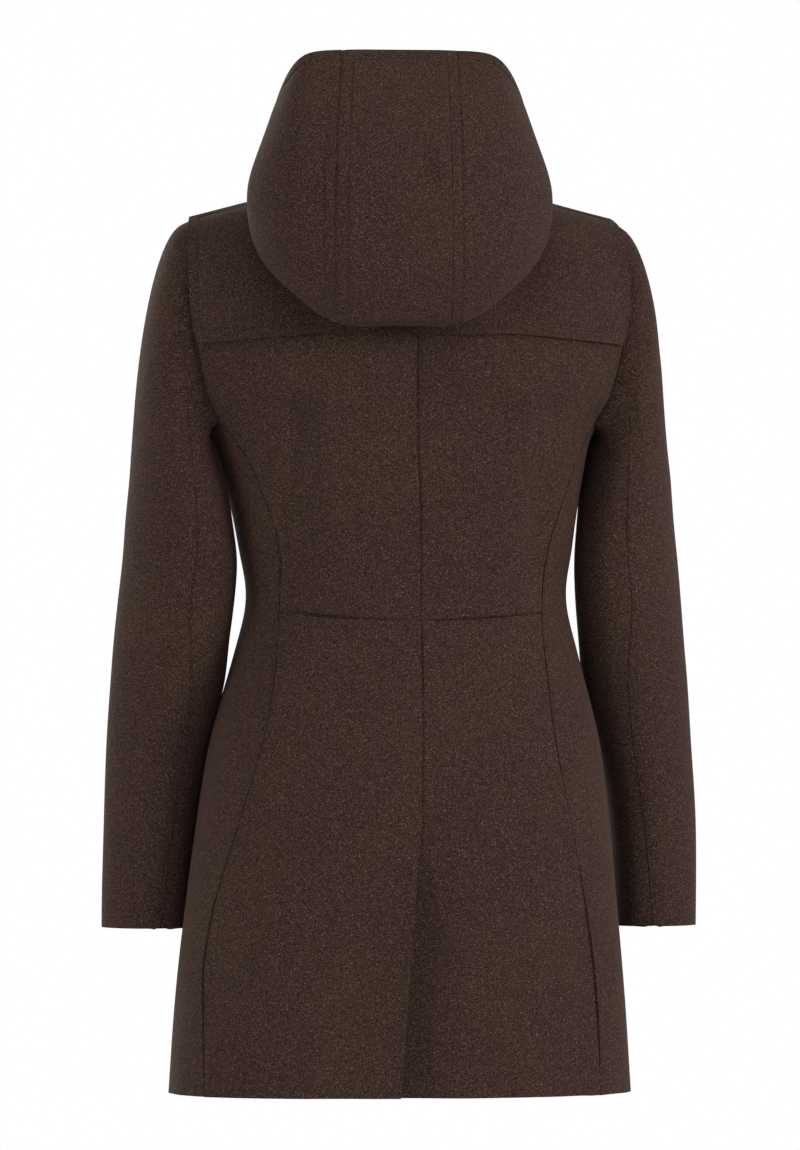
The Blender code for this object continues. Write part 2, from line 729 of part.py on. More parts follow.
# Hood: a grid of stations round the neck, each a path from the neck seam to the rim.

def neckline(place):
    """Point of the neckline, for a place from 0 at the centre back to 1 at the centre front."""
    if place <= NECK_SHARE:
        return top_edge(place, "back")
    return top_edge(1 - place, "front")


def hood_seat(place):
    """Where the hood's edge starts: past the neckline, level with the outside of the yoke."""
    share, face = (place, "back") if place <= NECK_SHARE else (1 - place, "front")
    edge = neckline(place)
    normal = shoulder_normal(share, 1.0, face)
    way_out = (neckline(place + 0.01) - neckline(place - 0.01)).cross(normal).normalized()
    if way_out.dot(Vector((edge.x, edge.y, -40))) > 0:
        way_out.negate()
    return edge + normal * (LAY + WALL) + way_out * HOOD_SEAT


def spread(cells):
    """Places along a table, as (row, part), with the given number of cells in each interval."""
    places = [i + k / count for i, count in enumerate(cells) for k in range(count)]
    return places + [len(cells)]


def station_path(place):
    """The hood's named points at a place along the stations."""
    rows = list(range(len(HOOD_STATIONS)))
    path = [hood_seat(smooth_read(rows, column_of(HOOD_STATIONS, "neck"), place))]
    path += [smooth_read(rows, column_of(HOOD_STATIONS, name), place) for name in HOOD_PATH]
    return path


def hood_grid():
    """Points from the right front round the back to the left front."""
    stations = []
    for place in spread(HOOD_STATION_CELLS):
        path = station_path(place)
        keys = list(range(len(path)))
        stations.append([smooth_read(keys, path, step) for step in spread(HOOD_PATH_CELLS)])
    right = [[Vector((-point.x, point.y, point.z)) for point in path] for path in stations[:0:-1]]
    stations = right + stations
    for path in stations:
        for k, point in enumerate(path):
            point.x += HOOD_SKEW * max(0.0, point.y) * min(1.0, k / 3)
    return [list(row) for row in zip(*stations)]


def open_normals(rows, up_sign):
    """Normals of an open grid, all on the side that up_sign gives."""
    normals = []
    for i, row in enumerate(rows):
        before, after = rows[max(i - 1, 0)], rows[min(i + 1, len(rows) - 1)]
        turned = []
        for j in range(len(row)):
            around = row[min(j + 1, len(row) - 1)] - row[max(j - 1, 0)]
            turned.append(around.cross(after[j] - before[j]).normalized() * up_sign)
        normals.append(turned)
    return normals


def build_hood(collection):
    """Two hood sides and the gusset between them."""
    rows = hood_grid()
    normals = open_normals(rows, -1)
    middle = sum(HOOD_STATION_CELLS)
    half = HOOD_STATION_CELLS[0]
    spans = {
        "hood_side_right": (0, middle - half),
        "hood_center": (middle - half, middle + half),
        "hood_side_left": (middle + half, 2 * middle),
    }
    for name, (start, end) in spans.items():
        grid = [row[start:end + 1] for row in rows]
        turned = [row[start:end + 1] for row in normals]
        add_panel(name, (grid, turned), collection, ("start", "end"), HOOD_WALL)


# Closing

def front_surface(x, z, rise):
    """Point of the front at a distance to the side and a rise off the cloth, with its normal."""
    angle = ring_angle(z, x or CENTRE, "front")
    normal = ring_normal(z, angle)
    return ring_point(z, angle) + normal * rise, normal


def add_patch(name, span, z, collection):
    """A patch that lies on the front at the ends of a cord."""
    points, normals = [], []
    for k in range(3):
        x = span[0] + (span[1] - span[0]) * k / 2
        half = PATCH_HALF_HEIGHTS[0] + (PATCH_HALF_HEIGHTS[1] - PATCH_HALF_HEIGHTS[0]) * k / 2
        placed = [front_surface(x, z + half * step, PATCH_LAY + PATCH_WALL) for step in (-1, 0, 1)]
        points.append([point for point, normal in placed])
        normals.append([normal for point, normal in placed])
    add_object(name, wall_mesh(name, points, normals, PATCH_WALL), "leather", collection)


def add_cord(name, ends, z, collection):
    """A cord loop: out along one strand, round the toggle's end and back."""
    near, far = ends
    bend = math.copysign(CORD_SPREAD, far - near)
    places = [(far, CORD_SPREAD), ((near + far) / 2, CORD_SPREAD), (near + bend, CORD_SPREAD)]
    places += [(near + bend * (1 - math.cos(math.radians(turn))), CORD_SPREAD * math.sin(math.radians(turn)))
               for turn in (45, 0, -45)]
    places += [(x, -height) for x, height in places[2::-1]]
    curve = bpy.data.curves.new(name, "CURVE")
    curve.dimensions = "3D"
    curve.bevel_depth = CORD_RADIUS * MM
    curve.bevel_resolution = 2
    curve.use_fill_caps = True
    spline = curve.splines.new("POLY")
    spline.points.add(len(places) - 1)
    for point, (x, height) in zip(spline.points, places):
        place = front_surface(x, z + height, CORD_RISE)[0] * MM
        point.co = (*place, 1.0)
    material = finish_material("cord", name)
    curve.materials.append(material)
    collection.objects.link(bpy.data.objects.new(name, curve))


def add_toggle(name, z, collection):
    """A barrel with a waist, turned about its length and laid across the lap."""
    profile = [(-0.5, 0.0), (-0.5, 0.5), (-0.38, 0.8), (-0.2, 1.0), (0.0, 0.92), (0.2, 1.0),
               (0.38, 0.8), (0.5, 0.5), (0.5, 0.0)]
    mesh = bpy.data.meshes.new(name)
    points = [(TOGGLE_RADIUS * r * MM, 0.0, TOGGLE_LENGTH * t * MM) for t, r in profile]
    mesh.from_pydata(points, [(i, i + 1) for i in range(len(points) - 1)], [])
    material = finish_material("horn", name)
    mesh.materials.append(material)
    toggle = bpy.data.objects.new(name, mesh)
    screw = toggle.modifiers.new("Turn", "SCREW")
    screw.steps = screw.render_steps = 14
    screw.use_merge_vertices = True
    screw.merge_threshold = 0.0001
    screw.use_normal_flip = True
    rise = CORD_RISE + CORD_RADIUS + TOGGLE_SEAT + TOGGLE_RADIUS
    toggle.location = front_surface(TOGGLE_X, z, rise)[0] * MM
    toggle.rotation_euler = (0, math.radians(90), 0)
    collection.objects.link(toggle)


def build_closing(collection):
    """Each row of the closing: two patches, two cords and a toggle."""
    for number, z in enumerate(TOGGLE_LEVELS, start=1):
        for name in SIDES:
            add_patch("patch_%s_%d" % (name, number), PATCH_SPANS[name], z, collection)
            add_cord("cord_%s_%d" % (name, number), CORD_ENDS[name], z, collection)
        add_toggle("toggle_%d" % number, z, collection)


def main():
    for item in list(bpy.data.objects):
        bpy.data.objects.remove(item)
    collection = bpy.data.collections.new("duffle_coat")
    bpy.context.scene.collection.children.link(collection)
    build_back(collection)
    build_sides(collection)
    build_fronts(collection)
    build_yokes(collection)
    build_sleeves(collection)
    build_hood(collection)
    build_closing(collection)


main()
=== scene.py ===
"""A women's fitted duffle coat in brown melange wool, dressed over its CAD frame."""

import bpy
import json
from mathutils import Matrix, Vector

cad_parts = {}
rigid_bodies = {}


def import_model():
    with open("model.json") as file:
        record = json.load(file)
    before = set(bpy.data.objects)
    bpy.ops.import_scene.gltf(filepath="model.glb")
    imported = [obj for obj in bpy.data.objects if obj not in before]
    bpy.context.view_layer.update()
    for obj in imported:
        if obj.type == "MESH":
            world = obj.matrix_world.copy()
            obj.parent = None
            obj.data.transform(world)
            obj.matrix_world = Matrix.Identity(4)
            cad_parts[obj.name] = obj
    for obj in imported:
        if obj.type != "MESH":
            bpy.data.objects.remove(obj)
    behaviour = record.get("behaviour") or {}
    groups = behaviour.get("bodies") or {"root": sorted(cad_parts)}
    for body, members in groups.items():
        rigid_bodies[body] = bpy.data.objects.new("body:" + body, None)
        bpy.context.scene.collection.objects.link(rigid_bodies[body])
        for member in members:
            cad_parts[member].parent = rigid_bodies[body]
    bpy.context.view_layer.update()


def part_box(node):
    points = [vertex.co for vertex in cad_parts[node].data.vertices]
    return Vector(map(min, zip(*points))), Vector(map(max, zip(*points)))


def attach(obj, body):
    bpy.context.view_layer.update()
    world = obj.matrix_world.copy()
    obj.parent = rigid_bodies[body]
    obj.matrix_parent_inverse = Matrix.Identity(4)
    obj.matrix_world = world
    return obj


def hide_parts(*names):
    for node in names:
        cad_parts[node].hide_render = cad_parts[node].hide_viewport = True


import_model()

import json
import logging
import math
from contextlib import contextmanager
from dataclasses import dataclass, field
from enum import Enum
from functools import cache
from typing import Any, Iterator, Sequence

import bmesh
import bpy
import numpy as np
from mathutils import Matrix, Vector
from mathutils.bvhtree import BVHTree
from mathutils.kdtree import KDTree

LOG = logging.getLogger("duffle_coat")
MM = 0.001


# ---------------------------------------------------------------- shader maths


class Value:
    """A number or colour inside a material, on which Python operators add nodes."""

    def __init__(self, shader: "Shader", socket: bpy.types.NodeSocket) -> None:
        """Keeps the socket.

        Args:
            shader: the material that the socket is in.
            socket: the output socket that holds the value.
        """
        self.shader = shader
        self.socket = socket

    def _math(self, operation: str, first: Any, second: Any) -> "Value":
        """Adds one Math node.

        Args:
            operation: the node's operation.
            first: its first input.
            second: its second input.

        Returns:
            The node's output.
        """
        return self.shader.node("ShaderNodeMath", {"operation": operation}, {0: first, 1: second})

    def __add__(self, other: Any) -> "Value":
        """Adds other."""
        return self._math("ADD", self, other)

    def __radd__(self, other: Any) -> "Value":
        """Adds to other."""
        return self._math("ADD", other, self)

    def __mul__(self, other: Any) -> "Value":
        """Multiplies by other."""
        return self._math("MULTIPLY", self, other)

    def __rmul__(self, other: Any) -> "Value":
        """Multiplies other."""
        return self._math("MULTIPLY", other, self)

    def above(self, edge: float, softness: float) -> "Value":
        """Rises from 0 to 1 over softness, from edge on.

        Args:
            edge: where it starts to rise.
            softness: over how much it rises.

        Returns:
            The mask.
        """
        settings = {"interpolation_type": "SMOOTHSTEP", "clamp": True}
        sockets = {"Value": self, "From Min": edge, "From Max": edge + softness}
        return self.shader.node("ShaderNodeMapRange", settings, sockets)


class Shader:
    """A material's node tree, built one node at a time."""

    def __init__(self, name: str) -> None:
        """Makes an empty Principled material.

        Args:
            name: the material's name.
        """
        self.material = bpy.data.materials.new(name)
        self.material.use_nodes = True
        self.tree = self.material.node_tree
        self.tree.nodes.clear()
        self.output = self.tree.nodes.new("ShaderNodeOutputMaterial")
        self.surface = self.tree.nodes.new("ShaderNodeBsdfPrincipled")
        self.tree.links.new(self.surface.outputs["BSDF"], self.output.inputs["Surface"])

    def plug(self, socket: bpy.types.NodeSocket, value: Any) -> None:
        """Links a value into a socket, or sets it.

        Args:
            socket: the input socket.
            value: a Value, a number or a tuple.
        """
        if isinstance(value, Value):
            self.tree.links.new(value.socket, socket)
        else:
            socket.default_value = value

    def node(
        self, kind: str, settings: dict[str, Any], sockets: dict[Any, Any], out: Any = 0
    ) -> Value:
        """Adds a node of any type.

        Args:
            kind: the node's type.
            settings: its properties, set first.
            sockets: its inputs by name or number.
            out: the output that is returned, by name or number.

        Returns:
            The chosen output.
        """
        made = self.tree.nodes.new(kind)
        for key, value in settings.items():
            setattr(made, key, value)
        for key, value in sockets.items():
            self.plug(made.inputs[key], value)
        return Value(self, made.outputs[out])

    def place(self) -> Value:
        """Gives the place that is shaded.

        Returns:
            The point in the object's own metres.
        """
        return self.node("ShaderNodeTexCoord", {}, {}, "Object")

    def noise(self, scale: float, detail: float, rough: float, stretch: tuple | None = None) -> Value:
        """Adds a noise on the object's own coordinates.

        Args:
            scale: how many waves there are in a metre.
            detail: the octaves.
            rough: how strong the finer octaves are.
            stretch: the pattern's scale along X, Y and Z.

        Returns:
            The noise's factor.
        """
        where = self.place()
        if stretch is not None:
            where = self.node("ShaderNodeMapping", {}, {"Vector": where, "Scale": stretch})
        sockets = {"Vector": where, "Scale": scale, "Detail": detail, "Roughness": rough}
        return self.node("ShaderNodeTexNoise", {}, sockets, 0)

    def mix(self, factor: Any, first: Any, second: Any) -> Value:
        """Mixes two colours.

        Args:
            factor: how much of the second there is.
            first: the first colour.
            second: the second colour.

        Returns:
            The mixed colour.
        """
        made = self.tree.nodes.new("ShaderNodeMix")
        made.data_type = "RGBA"
        colours = [socket for socket in made.inputs if socket.type == "RGBA"]
        self.plug(made.inputs[0], factor)
        self.plug(colours[0], first)
        self.plug(colours[1], second)
        return Value(self, next(socket for socket in made.outputs if socket.type == "RGBA"))

    def bump(self, height: Value, distance: float, strength: float) -> Value:
        """Adds a Bump node.

        Args:
            height: the relief, from 0 to 1.
            distance: how high 1 is, in metres.
            strength: how much of it shows.

        Returns:
            The normal.
        """
        sockets = {"Height": height, "Distance": distance, "Strength": strength}
        return self.node("ShaderNodeBump", {}, sockets)

    def dress(self, **sockets: Any) -> bpy.types.Material:
        """Fills the Principled shader's sockets.

        Args:
            **sockets: values by the socket's name, with _ for a space.

        Returns:
            The finished material.
        """
        for name, value in sockets.items():
            self.plug(self.surface.inputs[name.replace("_", " ")], value)
        return self.material


# ---------------------------------------------------------------- finishes


@dataclass(frozen=True)
class WoolFinish:
    """Felted melange wool: dark and light fibres milled together under a short nap.

    Each noise is its waves in a metre, octaves, their strength and its stretch. Each mask is
    where it starts and how softly. Where the curls are low, in the hollows of the nap's relief,
    the colour is painted darker as shade; the darks add real dark fibres in the same colour. The
    relief is its height in metres and how much shows. The roughness is its least and what the
    curls add.
    """

    name: str = "brown_melange_wool"
    # The darkest colour: the real dark fibres, and also the painted shade in the hollows of the nap
    dark_fibre_and_hollow_shade: tuple = (0.0072, 0.0040, 0.0036, 1.0)
    ground: tuple = (0.0270, 0.0137, 0.0126, 1.0)
    bronze: tuple = (0.0294, 0.0162, 0.0112, 1.0)
    fleck: tuple = (0.1350, 0.0860, 0.0690, 1.0)
    sheen: tuple = (0.62, 0.46, 0.40, 1.0)
    clouds: tuple = (9.0, 3.0, 0.6)
    cloud_mask: tuple = (0.42, 0.22)
    # Where the painted shade in the nap's hollows starts, and how softly
    curls: tuple = (700.0, 3.0, 0.7)
    hollow_shade_mask: tuple = (0.34, 0.24)
    darks: tuple = (1050.0, 2.0, 0.6)
    dark_mask: tuple = (0.52, 0.12)
    dark_share: float = 0.66
    fibres: tuple = (1250.0, 2.0, 0.7, (1.0, 1.0, 0.7))
    fleck_mask: tuple = (0.56, 0.12)
    fleck_share: float = 0.70
    fibre_relief: float = 0.45
    relief: tuple = (0.0004, 0.75)
    roughness: tuple = (0.82, 0.16)
    specular: float = 0.05
    sheen_weight: float = 0.04
    sheen_roughness: float = 0.42

    def build(self) -> bpy.types.Material:
        """Makes the material.

        Returns:
            The material, whose patterns are in the object's own metres.
        """
        shader = Shader(self.name)
        clouds, curls = shader.noise(*self.clouds), shader.noise(*self.curls)
        darks, fibres = shader.noise(*self.darks), shader.noise(*self.fibres)
        tone = shader.mix(clouds.above(*self.cloud_mask), self.ground, self.bronze)
        # Painted shade: where the curls are low, in the hollows of the nap's relief, the colour
        # darkens
        tone = shader.mix(curls.above(*self.hollow_shade_mask), self.dark_fibre_and_hollow_shade, tone)
        tone = shader.mix(darks.above(*self.dark_mask) * self.dark_share, tone, self.dark_fibre_and_hollow_shade)
        tone = shader.mix(fibres.above(*self.fleck_mask) * self.fleck_share, tone, self.fleck)
        nap = fibres * self.fibre_relief + curls * (1.0 - self.fibre_relief)
        return shader.dress(
            Base_Color=tone,
            Roughness=self.roughness[0] + curls * self.roughness[1],
            Specular_IOR_Level=self.specular,
            Sheen_Weight=self.sheen_weight,
            Sheen_Roughness=self.sheen_roughness,
            Sheen_Tint=self.sheen,
            Normal=shader.bump(nap, *self.relief),
        )


@dataclass(frozen=True)
class YarnFinish:
    """Matt twisted yarn between two tones."""

    name: str
    low: tuple
    high: tuple
    fibres: tuple
    roughness: tuple
    relief: tuple

    def build(self) -> bpy.types.Material:
        """Makes the material.

        Returns:
            The material.
        """
        shader = Shader(self.name)
        fibres = shader.noise(*self.fibres)
        return shader.dress(
            Base_Color=shader.mix(fibres, self.low, self.high),
            Roughness=self.roughness[0] + fibres * self.roughness[1],
            Normal=shader.bump(fibres, *self.relief),
        )


@dataclass(frozen=True)
class ThreadFinish(YarnFinish):
    """Sewing thread, near the wool's colour."""

    name: str = "brown_sewing_thread"
    low: tuple = (0.018, 0.011, 0.009, 1.0)
    high: tuple = (0.042, 0.027, 0.022, 1.0)
    fibres: tuple = (2600.0, 2.0, 0.6)
    roughness: tuple = (0.6, 0.2)
    relief: tuple = (0.0001, 0.5)


@dataclass(frozen=True)
class CordFinish(YarnFinish):
    """Waxed round cord of plied yarns."""

    name: str = "dark_brown_cord"
    low: tuple = (0.008, 0.005, 0.004, 1.0)
    high: tuple = (0.040, 0.026, 0.020, 1.0)
    fibres: tuple = (1900.0, 3.0, 0.7)
    roughness: tuple = (0.62, 0.2)
    relief: tuple = (0.00015, 0.6)


@dataclass(frozen=True)
class LeatherFinish:
    """Dark brown grained leather for the patches."""

    name: str = "dark_brown_leather"
    low: tuple = (0.012, 0.0065, 0.0048, 1.0)
    high: tuple = (0.034, 0.019, 0.014, 1.0)
    grain: float = 900.0
    grain_share: float = 0.3
    clouds: tuple = (70.0, 3.0, 0.6)
    relief: tuple = (0.00025, 0.7)
    roughness: tuple = (0.42, 0.22)

    def build(self) -> bpy.types.Material:
        """Makes the material.

        Returns:
            The material.
        """
        shader = Shader(self.name)
        sockets = {"Vector": shader.place(), "Scale": self.grain}
        cells = shader.node("ShaderNodeTexVoronoi", {}, sockets, "Distance")
        clouds = shader.noise(*self.clouds)
        tone = clouds * (1.0 - self.grain_share) + cells * self.grain_share
        return shader.dress(
            Base_Color=shader.mix(tone, self.low, self.high),
            Roughness=self.roughness[0] + clouds * self.roughness[1],
            Normal=shader.bump(cells, *self.relief),
        )


@dataclass(frozen=True)
class HornFinish:
    """Polished dark horn with streaks along its length."""

    name: str = "dark_horn"
    low: tuple = (0.010, 0.005, 0.003, 1.0)
    middle: tuple = (0.040, 0.019, 0.010, 1.0)
    high: tuple = (0.160, 0.090, 0.048, 1.0)
    streaks: tuple = (240.0, 4.0, 0.62, (0.12, 1.0, 1.0))
    streak_mask: tuple = (0.38, 0.2)
    clouds: tuple = (45.0, 2.0, 0.5)
    light_mask: tuple = (0.27, 0.16)
    light_share: float = 0.7
    relief: tuple = (0.0001, 0.35)
    roughness: tuple = (0.24, 0.16)
    polish: float = 0.25

    def build(self) -> bpy.types.Material:
        """Makes the material.

        Returns:
            The material.
        """
        shader = Shader(self.name)
        streaks, clouds = shader.noise(*self.streaks), shader.noise(*self.clouds)
        tone = shader.mix(streaks.above(*self.streak_mask), self.low, self.middle)
        light = (streaks * clouds).above(*self.light_mask) * self.light_share
        return shader.dress(
            Base_Color=shader.mix(light, tone, self.high),
            Roughness=self.roughness[0] + streaks * self.roughness[1],
            Coat_Weight=self.polish,
            Normal=shader.bump(streaks, *self.relief),
        )


@dataclass(frozen=True)
class FloorFinish:
    """Plain pale floor paint."""

    name: str = "pale_floor"
    tone: tuple = (0.86, 0.855, 0.85, 1.0)
    roughness: float = 0.9

    def build(self) -> bpy.types.Material:
        """Makes the material.

        Returns:
            The material.
        """
        return Shader(self.name).dress(Base_Color=self.tone, Roughness=self.roughness)


class Finish(Enum):
    """The finishes that the coat is made in."""

    WOOL = WoolFinish()
    THREAD = ThreadFinish()
    LEATHER = LeatherFinish()
    HORN = HornFinish()
    CORD = CordFinish()
    FLOOR = FloorFinish()

    @cache
    def material(self) -> bpy.types.Material:
        """Makes the finish's material, once.

        Returns:
            The material.
        """
        return self.value.build()


# ---------------------------------------------------------------- cloth


@dataclass(frozen=True)
class Crease:
    """A soft trough or ridge along a line on the cloth, in millimetres.

    The line is seen from behind, as X and Z: distances along Y don't count.
    """

    line: tuple[tuple[float, float], ...]
    width: float
    height: float
    fade: tuple[float, float] = (0.3, 0.3)

    def lift(self, points: np.ndarray) -> np.ndarray:
        """Says how far the crease moves each point backwards.

        Args:
            points: places on the cloth, in metres.

        Returns:
            The moves in metres, below 0 in a trough.
        """
        points = points[:, (0, 2)]
        corners = np.array(self.line) * MM
        steps = np.linalg.norm(np.diff(corners, axis=0), axis=1)
        total = steps.sum()
        nearest = np.full(len(points), np.inf)
        share = np.zeros(len(points))
        for k, length in enumerate(steps):
            along = (points - corners[k]) @ (corners[k + 1] - corners[k]) / length**2
            along = np.clip(along, 0.0, 1.0)
            spots = corners[k] + along[:, None] * (corners[k + 1] - corners[k])
            gaps = np.linalg.norm(points - spots, axis=1)
            closer = gaps < nearest
            nearest = np.where(closer, gaps, nearest)
            share = np.where(closer, (steps[:k].sum() + along * length) / total, share)
        profile = np.clip(1.0 - (nearest / (self.width * MM)) ** 2, 0.0, 1.0) ** 2
        ends = np.clip(np.minimum(share / self.fade[0], (1.0 - share) / self.fade[1]), 0.0, 1.0)
        return self.height * MM * profile * ends * ends * (3.0 - 2.0 * ends)


@dataclass(frozen=True)
class Drape:
    """How the worn cloth moves off the smooth form: its creases and a slow unevenness.

    The sway is its height, its widths across and down, how fast its waves follow each other
    along the axes, where they start and the shares of its two patterns.
    """

    creases: tuple[Crease, ...]
    back_share: float = 60.0
    sway: float = 0.7
    sway_width: float = 62.0
    sway_length: float = 190.0
    sway_waves: tuple[float, ...] = (2.2, 1.9, 4.1, 1.3, 3.0)
    sway_starts: tuple[float, ...] = (1.3, 0.4, 0.8)
    sway_shares: tuple[float, float] = (0.6, 0.4)

    def sways(self, points: np.ndarray) -> np.ndarray:
        """Says how far the slow unevenness moves each point out.

        Args:
            points: places on the cloth, in metres.

        Returns:
            The moves in metres, along the cloth's normals.
        """
        x, y, z = (points / MM).T
        wide, long = self.sway_width, self.sway_length
        wave, start = self.sway_waves, self.sway_starts
        across = np.sin(x / wide * wave[0] + start[0]) * np.cos(y / wide * wave[1] + start[1])
        down = np.sin(z / long * wave[2] + x / wide + start[2])
        cross = np.cos(z / wide * wave[3] - x / long * wave[4])
        even, uneven = self.sway_shares
        return self.sway * MM * (even * across * down + uneven * cross * across)

    def folds(self, points: np.ndarray, own: Sequence[Crease] = ()) -> np.ndarray:
        """Says how far the creases move each point.

        Args:
            points: places on the cloth, in metres.
            own: the creases that only this cloth has.

        Returns:
            The moves in metres, backwards.
        """
        behind = np.clip(points[:, 1] / (self.back_share * MM), 0.0, 1.0)
        return sum(crease.lift(points) for crease in (*self.creases, *own)) * behind


# Just below the stitches beside the hood's rim: distance to the back and height, in metres
RIM_LINE = (
    (-0.092, -0.047), (-0.056, -0.012), (0.009, 0.009), (0.0735, 0.046), (0.142, 0.103), (0.2, 0.151),
)
# Where the topstitched stretches start, in metres
YOKE_SIDE = 0.1725
YOKE_SHOULDER = -0.05
YOKE_HEM = -0.118
GUSSET_BACK = 0.1195
GUSSET_LOW = 0.04
HOOD_BESIDE_GUSSET = (0.085, 0.095)


class Topstitch(Enum):
    """Where a panel is topstitched beside its edge."""

    NONE = "none"
    YOKE = "side and lower edges of a yoke"
    HOOD_CENTER = "gusset seams and rim of the hood"
    HOOD_SIDE = "rim of the hood"
    ALL = "all edges"

    def holds(self, point: Vector) -> bool:
        """Tells whether a point beside the edge is on a stitched stretch.

        Args:
            point: a place on the line beside the edge, in metres.

        Returns:
            True on a stitched stretch.
        """
        if self is Topstitch.YOKE:
            return (abs(point.x) > YOKE_SIDE and point.z < YOKE_SHOULDER) or point.z < YOKE_HEM
        if self is Topstitch.HOOD_CENTER:
            return point.y > GUSSET_BACK or point.z > GUSSET_LOW
        if self is Topstitch.HOOD_SIDE:
            along, heights = zip(*RIM_LINE)
            width, height = HOOD_BESIDE_GUSSET
            beside_gusset = abs(point.x) < width and point.z < height and point.y > 0.0
            return bool(point.z > np.interp(point.y, along, heights)) and not beside_gusset
        return self is Topstitch.ALL


@dataclass(frozen=True)
class Panel:
    """One cut piece of the coat: its node, its flat cut in millimetres and what carries it.

    At its seams the edges are rounded by roll and drawn in by sink. eased is a strip that is
    evened out: its two sides along X and its top. All in millimetres.
    """

    node: str
    cut: tuple[float, float]
    cut_area: float
    hangs_from: tuple[str, ...]
    topstitch: Topstitch = Topstitch.NONE
    roll: float = 0.6
    sink: float = 0.75
    folds: tuple[Crease, ...] = ()
    eased: tuple[float, float, float] | None = None


RIM = 0
OUTSIDE = 1
INSIDE = 2
SHARP_EDGE = math.radians(48)
ROLLED_EDGE = math.radians(40)
TUBE_RIM = math.radians(70)
MERGED = 0.01
MITRE_LIMIT = 1.5
EASE_ROUNDS = 40
SEWN_GAP = 1.2
TINY = 1e-12
PLACE_DIGITS = 7
HEIGHT_DIGITS = 4
PATH_PARTS = 24


def deselect() -> None:
    """Deselects every object."""
    for item in bpy.context.view_layer.objects:
        item.select_set(False)


def activate(piece: bpy.types.Object) -> None:
    """Selects one object alone.

    Args:
        piece: the object.
    """
    deselect()
    piece.select_set(True)
    bpy.context.view_layer.objects.active = piece


def add(name: str, data: Any) -> bpy.types.Object:
    """Adds an object to the scene.

    Args:
        name: its name.
        data: its mesh, lamp or camera.

    Returns:
        The object.
    """
    item = bpy.data.objects.new(name, data)
    bpy.context.scene.collection.objects.link(item)
    return item


def paint(piece: bpy.types.Object, material: bpy.types.Material) -> None:
    """Gives all of a piece one material, shaded smooth.

    Args:
        piece: the piece.
        material: its material.
    """
    piece.data.materials.clear()
    piece.data.materials.append(material)
    for face in piece.data.polygons:
        face.material_index = 0
        face.use_smooth = True


def places_of(vertices: Any) -> np.ndarray:
    """Reads the places of a mesh's vertices.

    Args:
        vertices: the mesh's vertices.

    Returns:
        A row for each, in metres.
    """
    places = np.empty(len(vertices) * 3)
    vertices.foreach_get("co", places)
    return places.reshape(-1, 3)


@contextmanager
def editing(mesh: bpy.types.Mesh) -> Iterator[bmesh.types.BMesh]:
    """Opens a mesh for editing, and writes the changes back.

    Args:
        mesh: the mesh.

    Yields:
        The mesh for editing.
    """
    made = bmesh.new()
    made.from_mesh(mesh)
    yield made
    made.to_mesh(mesh)
    made.free()


def opened(mesh: bpy.types.Mesh) -> bmesh.types.BMesh:
    """Opens a CAD mesh with its points merged and its triangles joined.

    Args:
        mesh: the node's mesh, which stays as it is.

    Returns:
        The new mesh for editing.
    """
    made = bmesh.new()
    made.from_mesh(mesh)
    bmesh.ops.remove_doubles(made, verts=made.verts, dist=MERGED * MM)
    bmesh.ops.join_triangles(
        made, faces=made.faces, angle_face_threshold=math.pi, angle_shape_threshold=math.pi
    )
    return made


def border_of(region: list[bmesh.types.BMFace]) -> list[bmesh.types.BMEdge]:
    """Finds the edges around a region.

    Args:
        region: its faces.

    Returns:
        The edges that only one of its faces has.
    """
    inside = set(region)
    return [e for f in region for e in f.edges if sum(o in inside for o in e.link_faces) == 1]


def place_key(vert: bmesh.types.BMVert) -> tuple[float, ...]:
    """Gives a vertex's place as a key.

    Args:
        vert: the vertex.

    Returns:
        Its rounded place.
    """
    return tuple(round(c, PLACE_DIGITS) for c in vert.co)


class Neighbours:
    """Tells where one panel is sewn to another."""

    def __init__(self, nodes: Sequence[str]) -> None:
        """Reads the walls of all the panels.

        Args:
            nodes: the panels' nodes.
        """
        points: list[Vector] = []
        faces: list[tuple[int, ...]] = []
        self.owners: list[str] = []
        for node in nodes:
            mesh = bpy.data.objects[node].data
            start = len(points)
            points.extend(v.co.copy() for v in mesh.vertices)
            faces.extend(tuple(start + i for i in face.vertices) for face in mesh.polygons)
            self.owners.extend([node] * len(mesh.polygons))
        self.tree = BVHTree.FromPolygons(points, faces)

    def touches(self, node: str, place: Vector) -> bool:
        """Tells whether another panel is close by.

        Args:
            node: the panel that the place is on.
            place: the place.

        Returns:
            True at a seam.
        """
        near = self.tree.find_nearest_range(place, SEWN_GAP * MM)
        return any(self.owners[index] != node for _, _, index, _ in near)


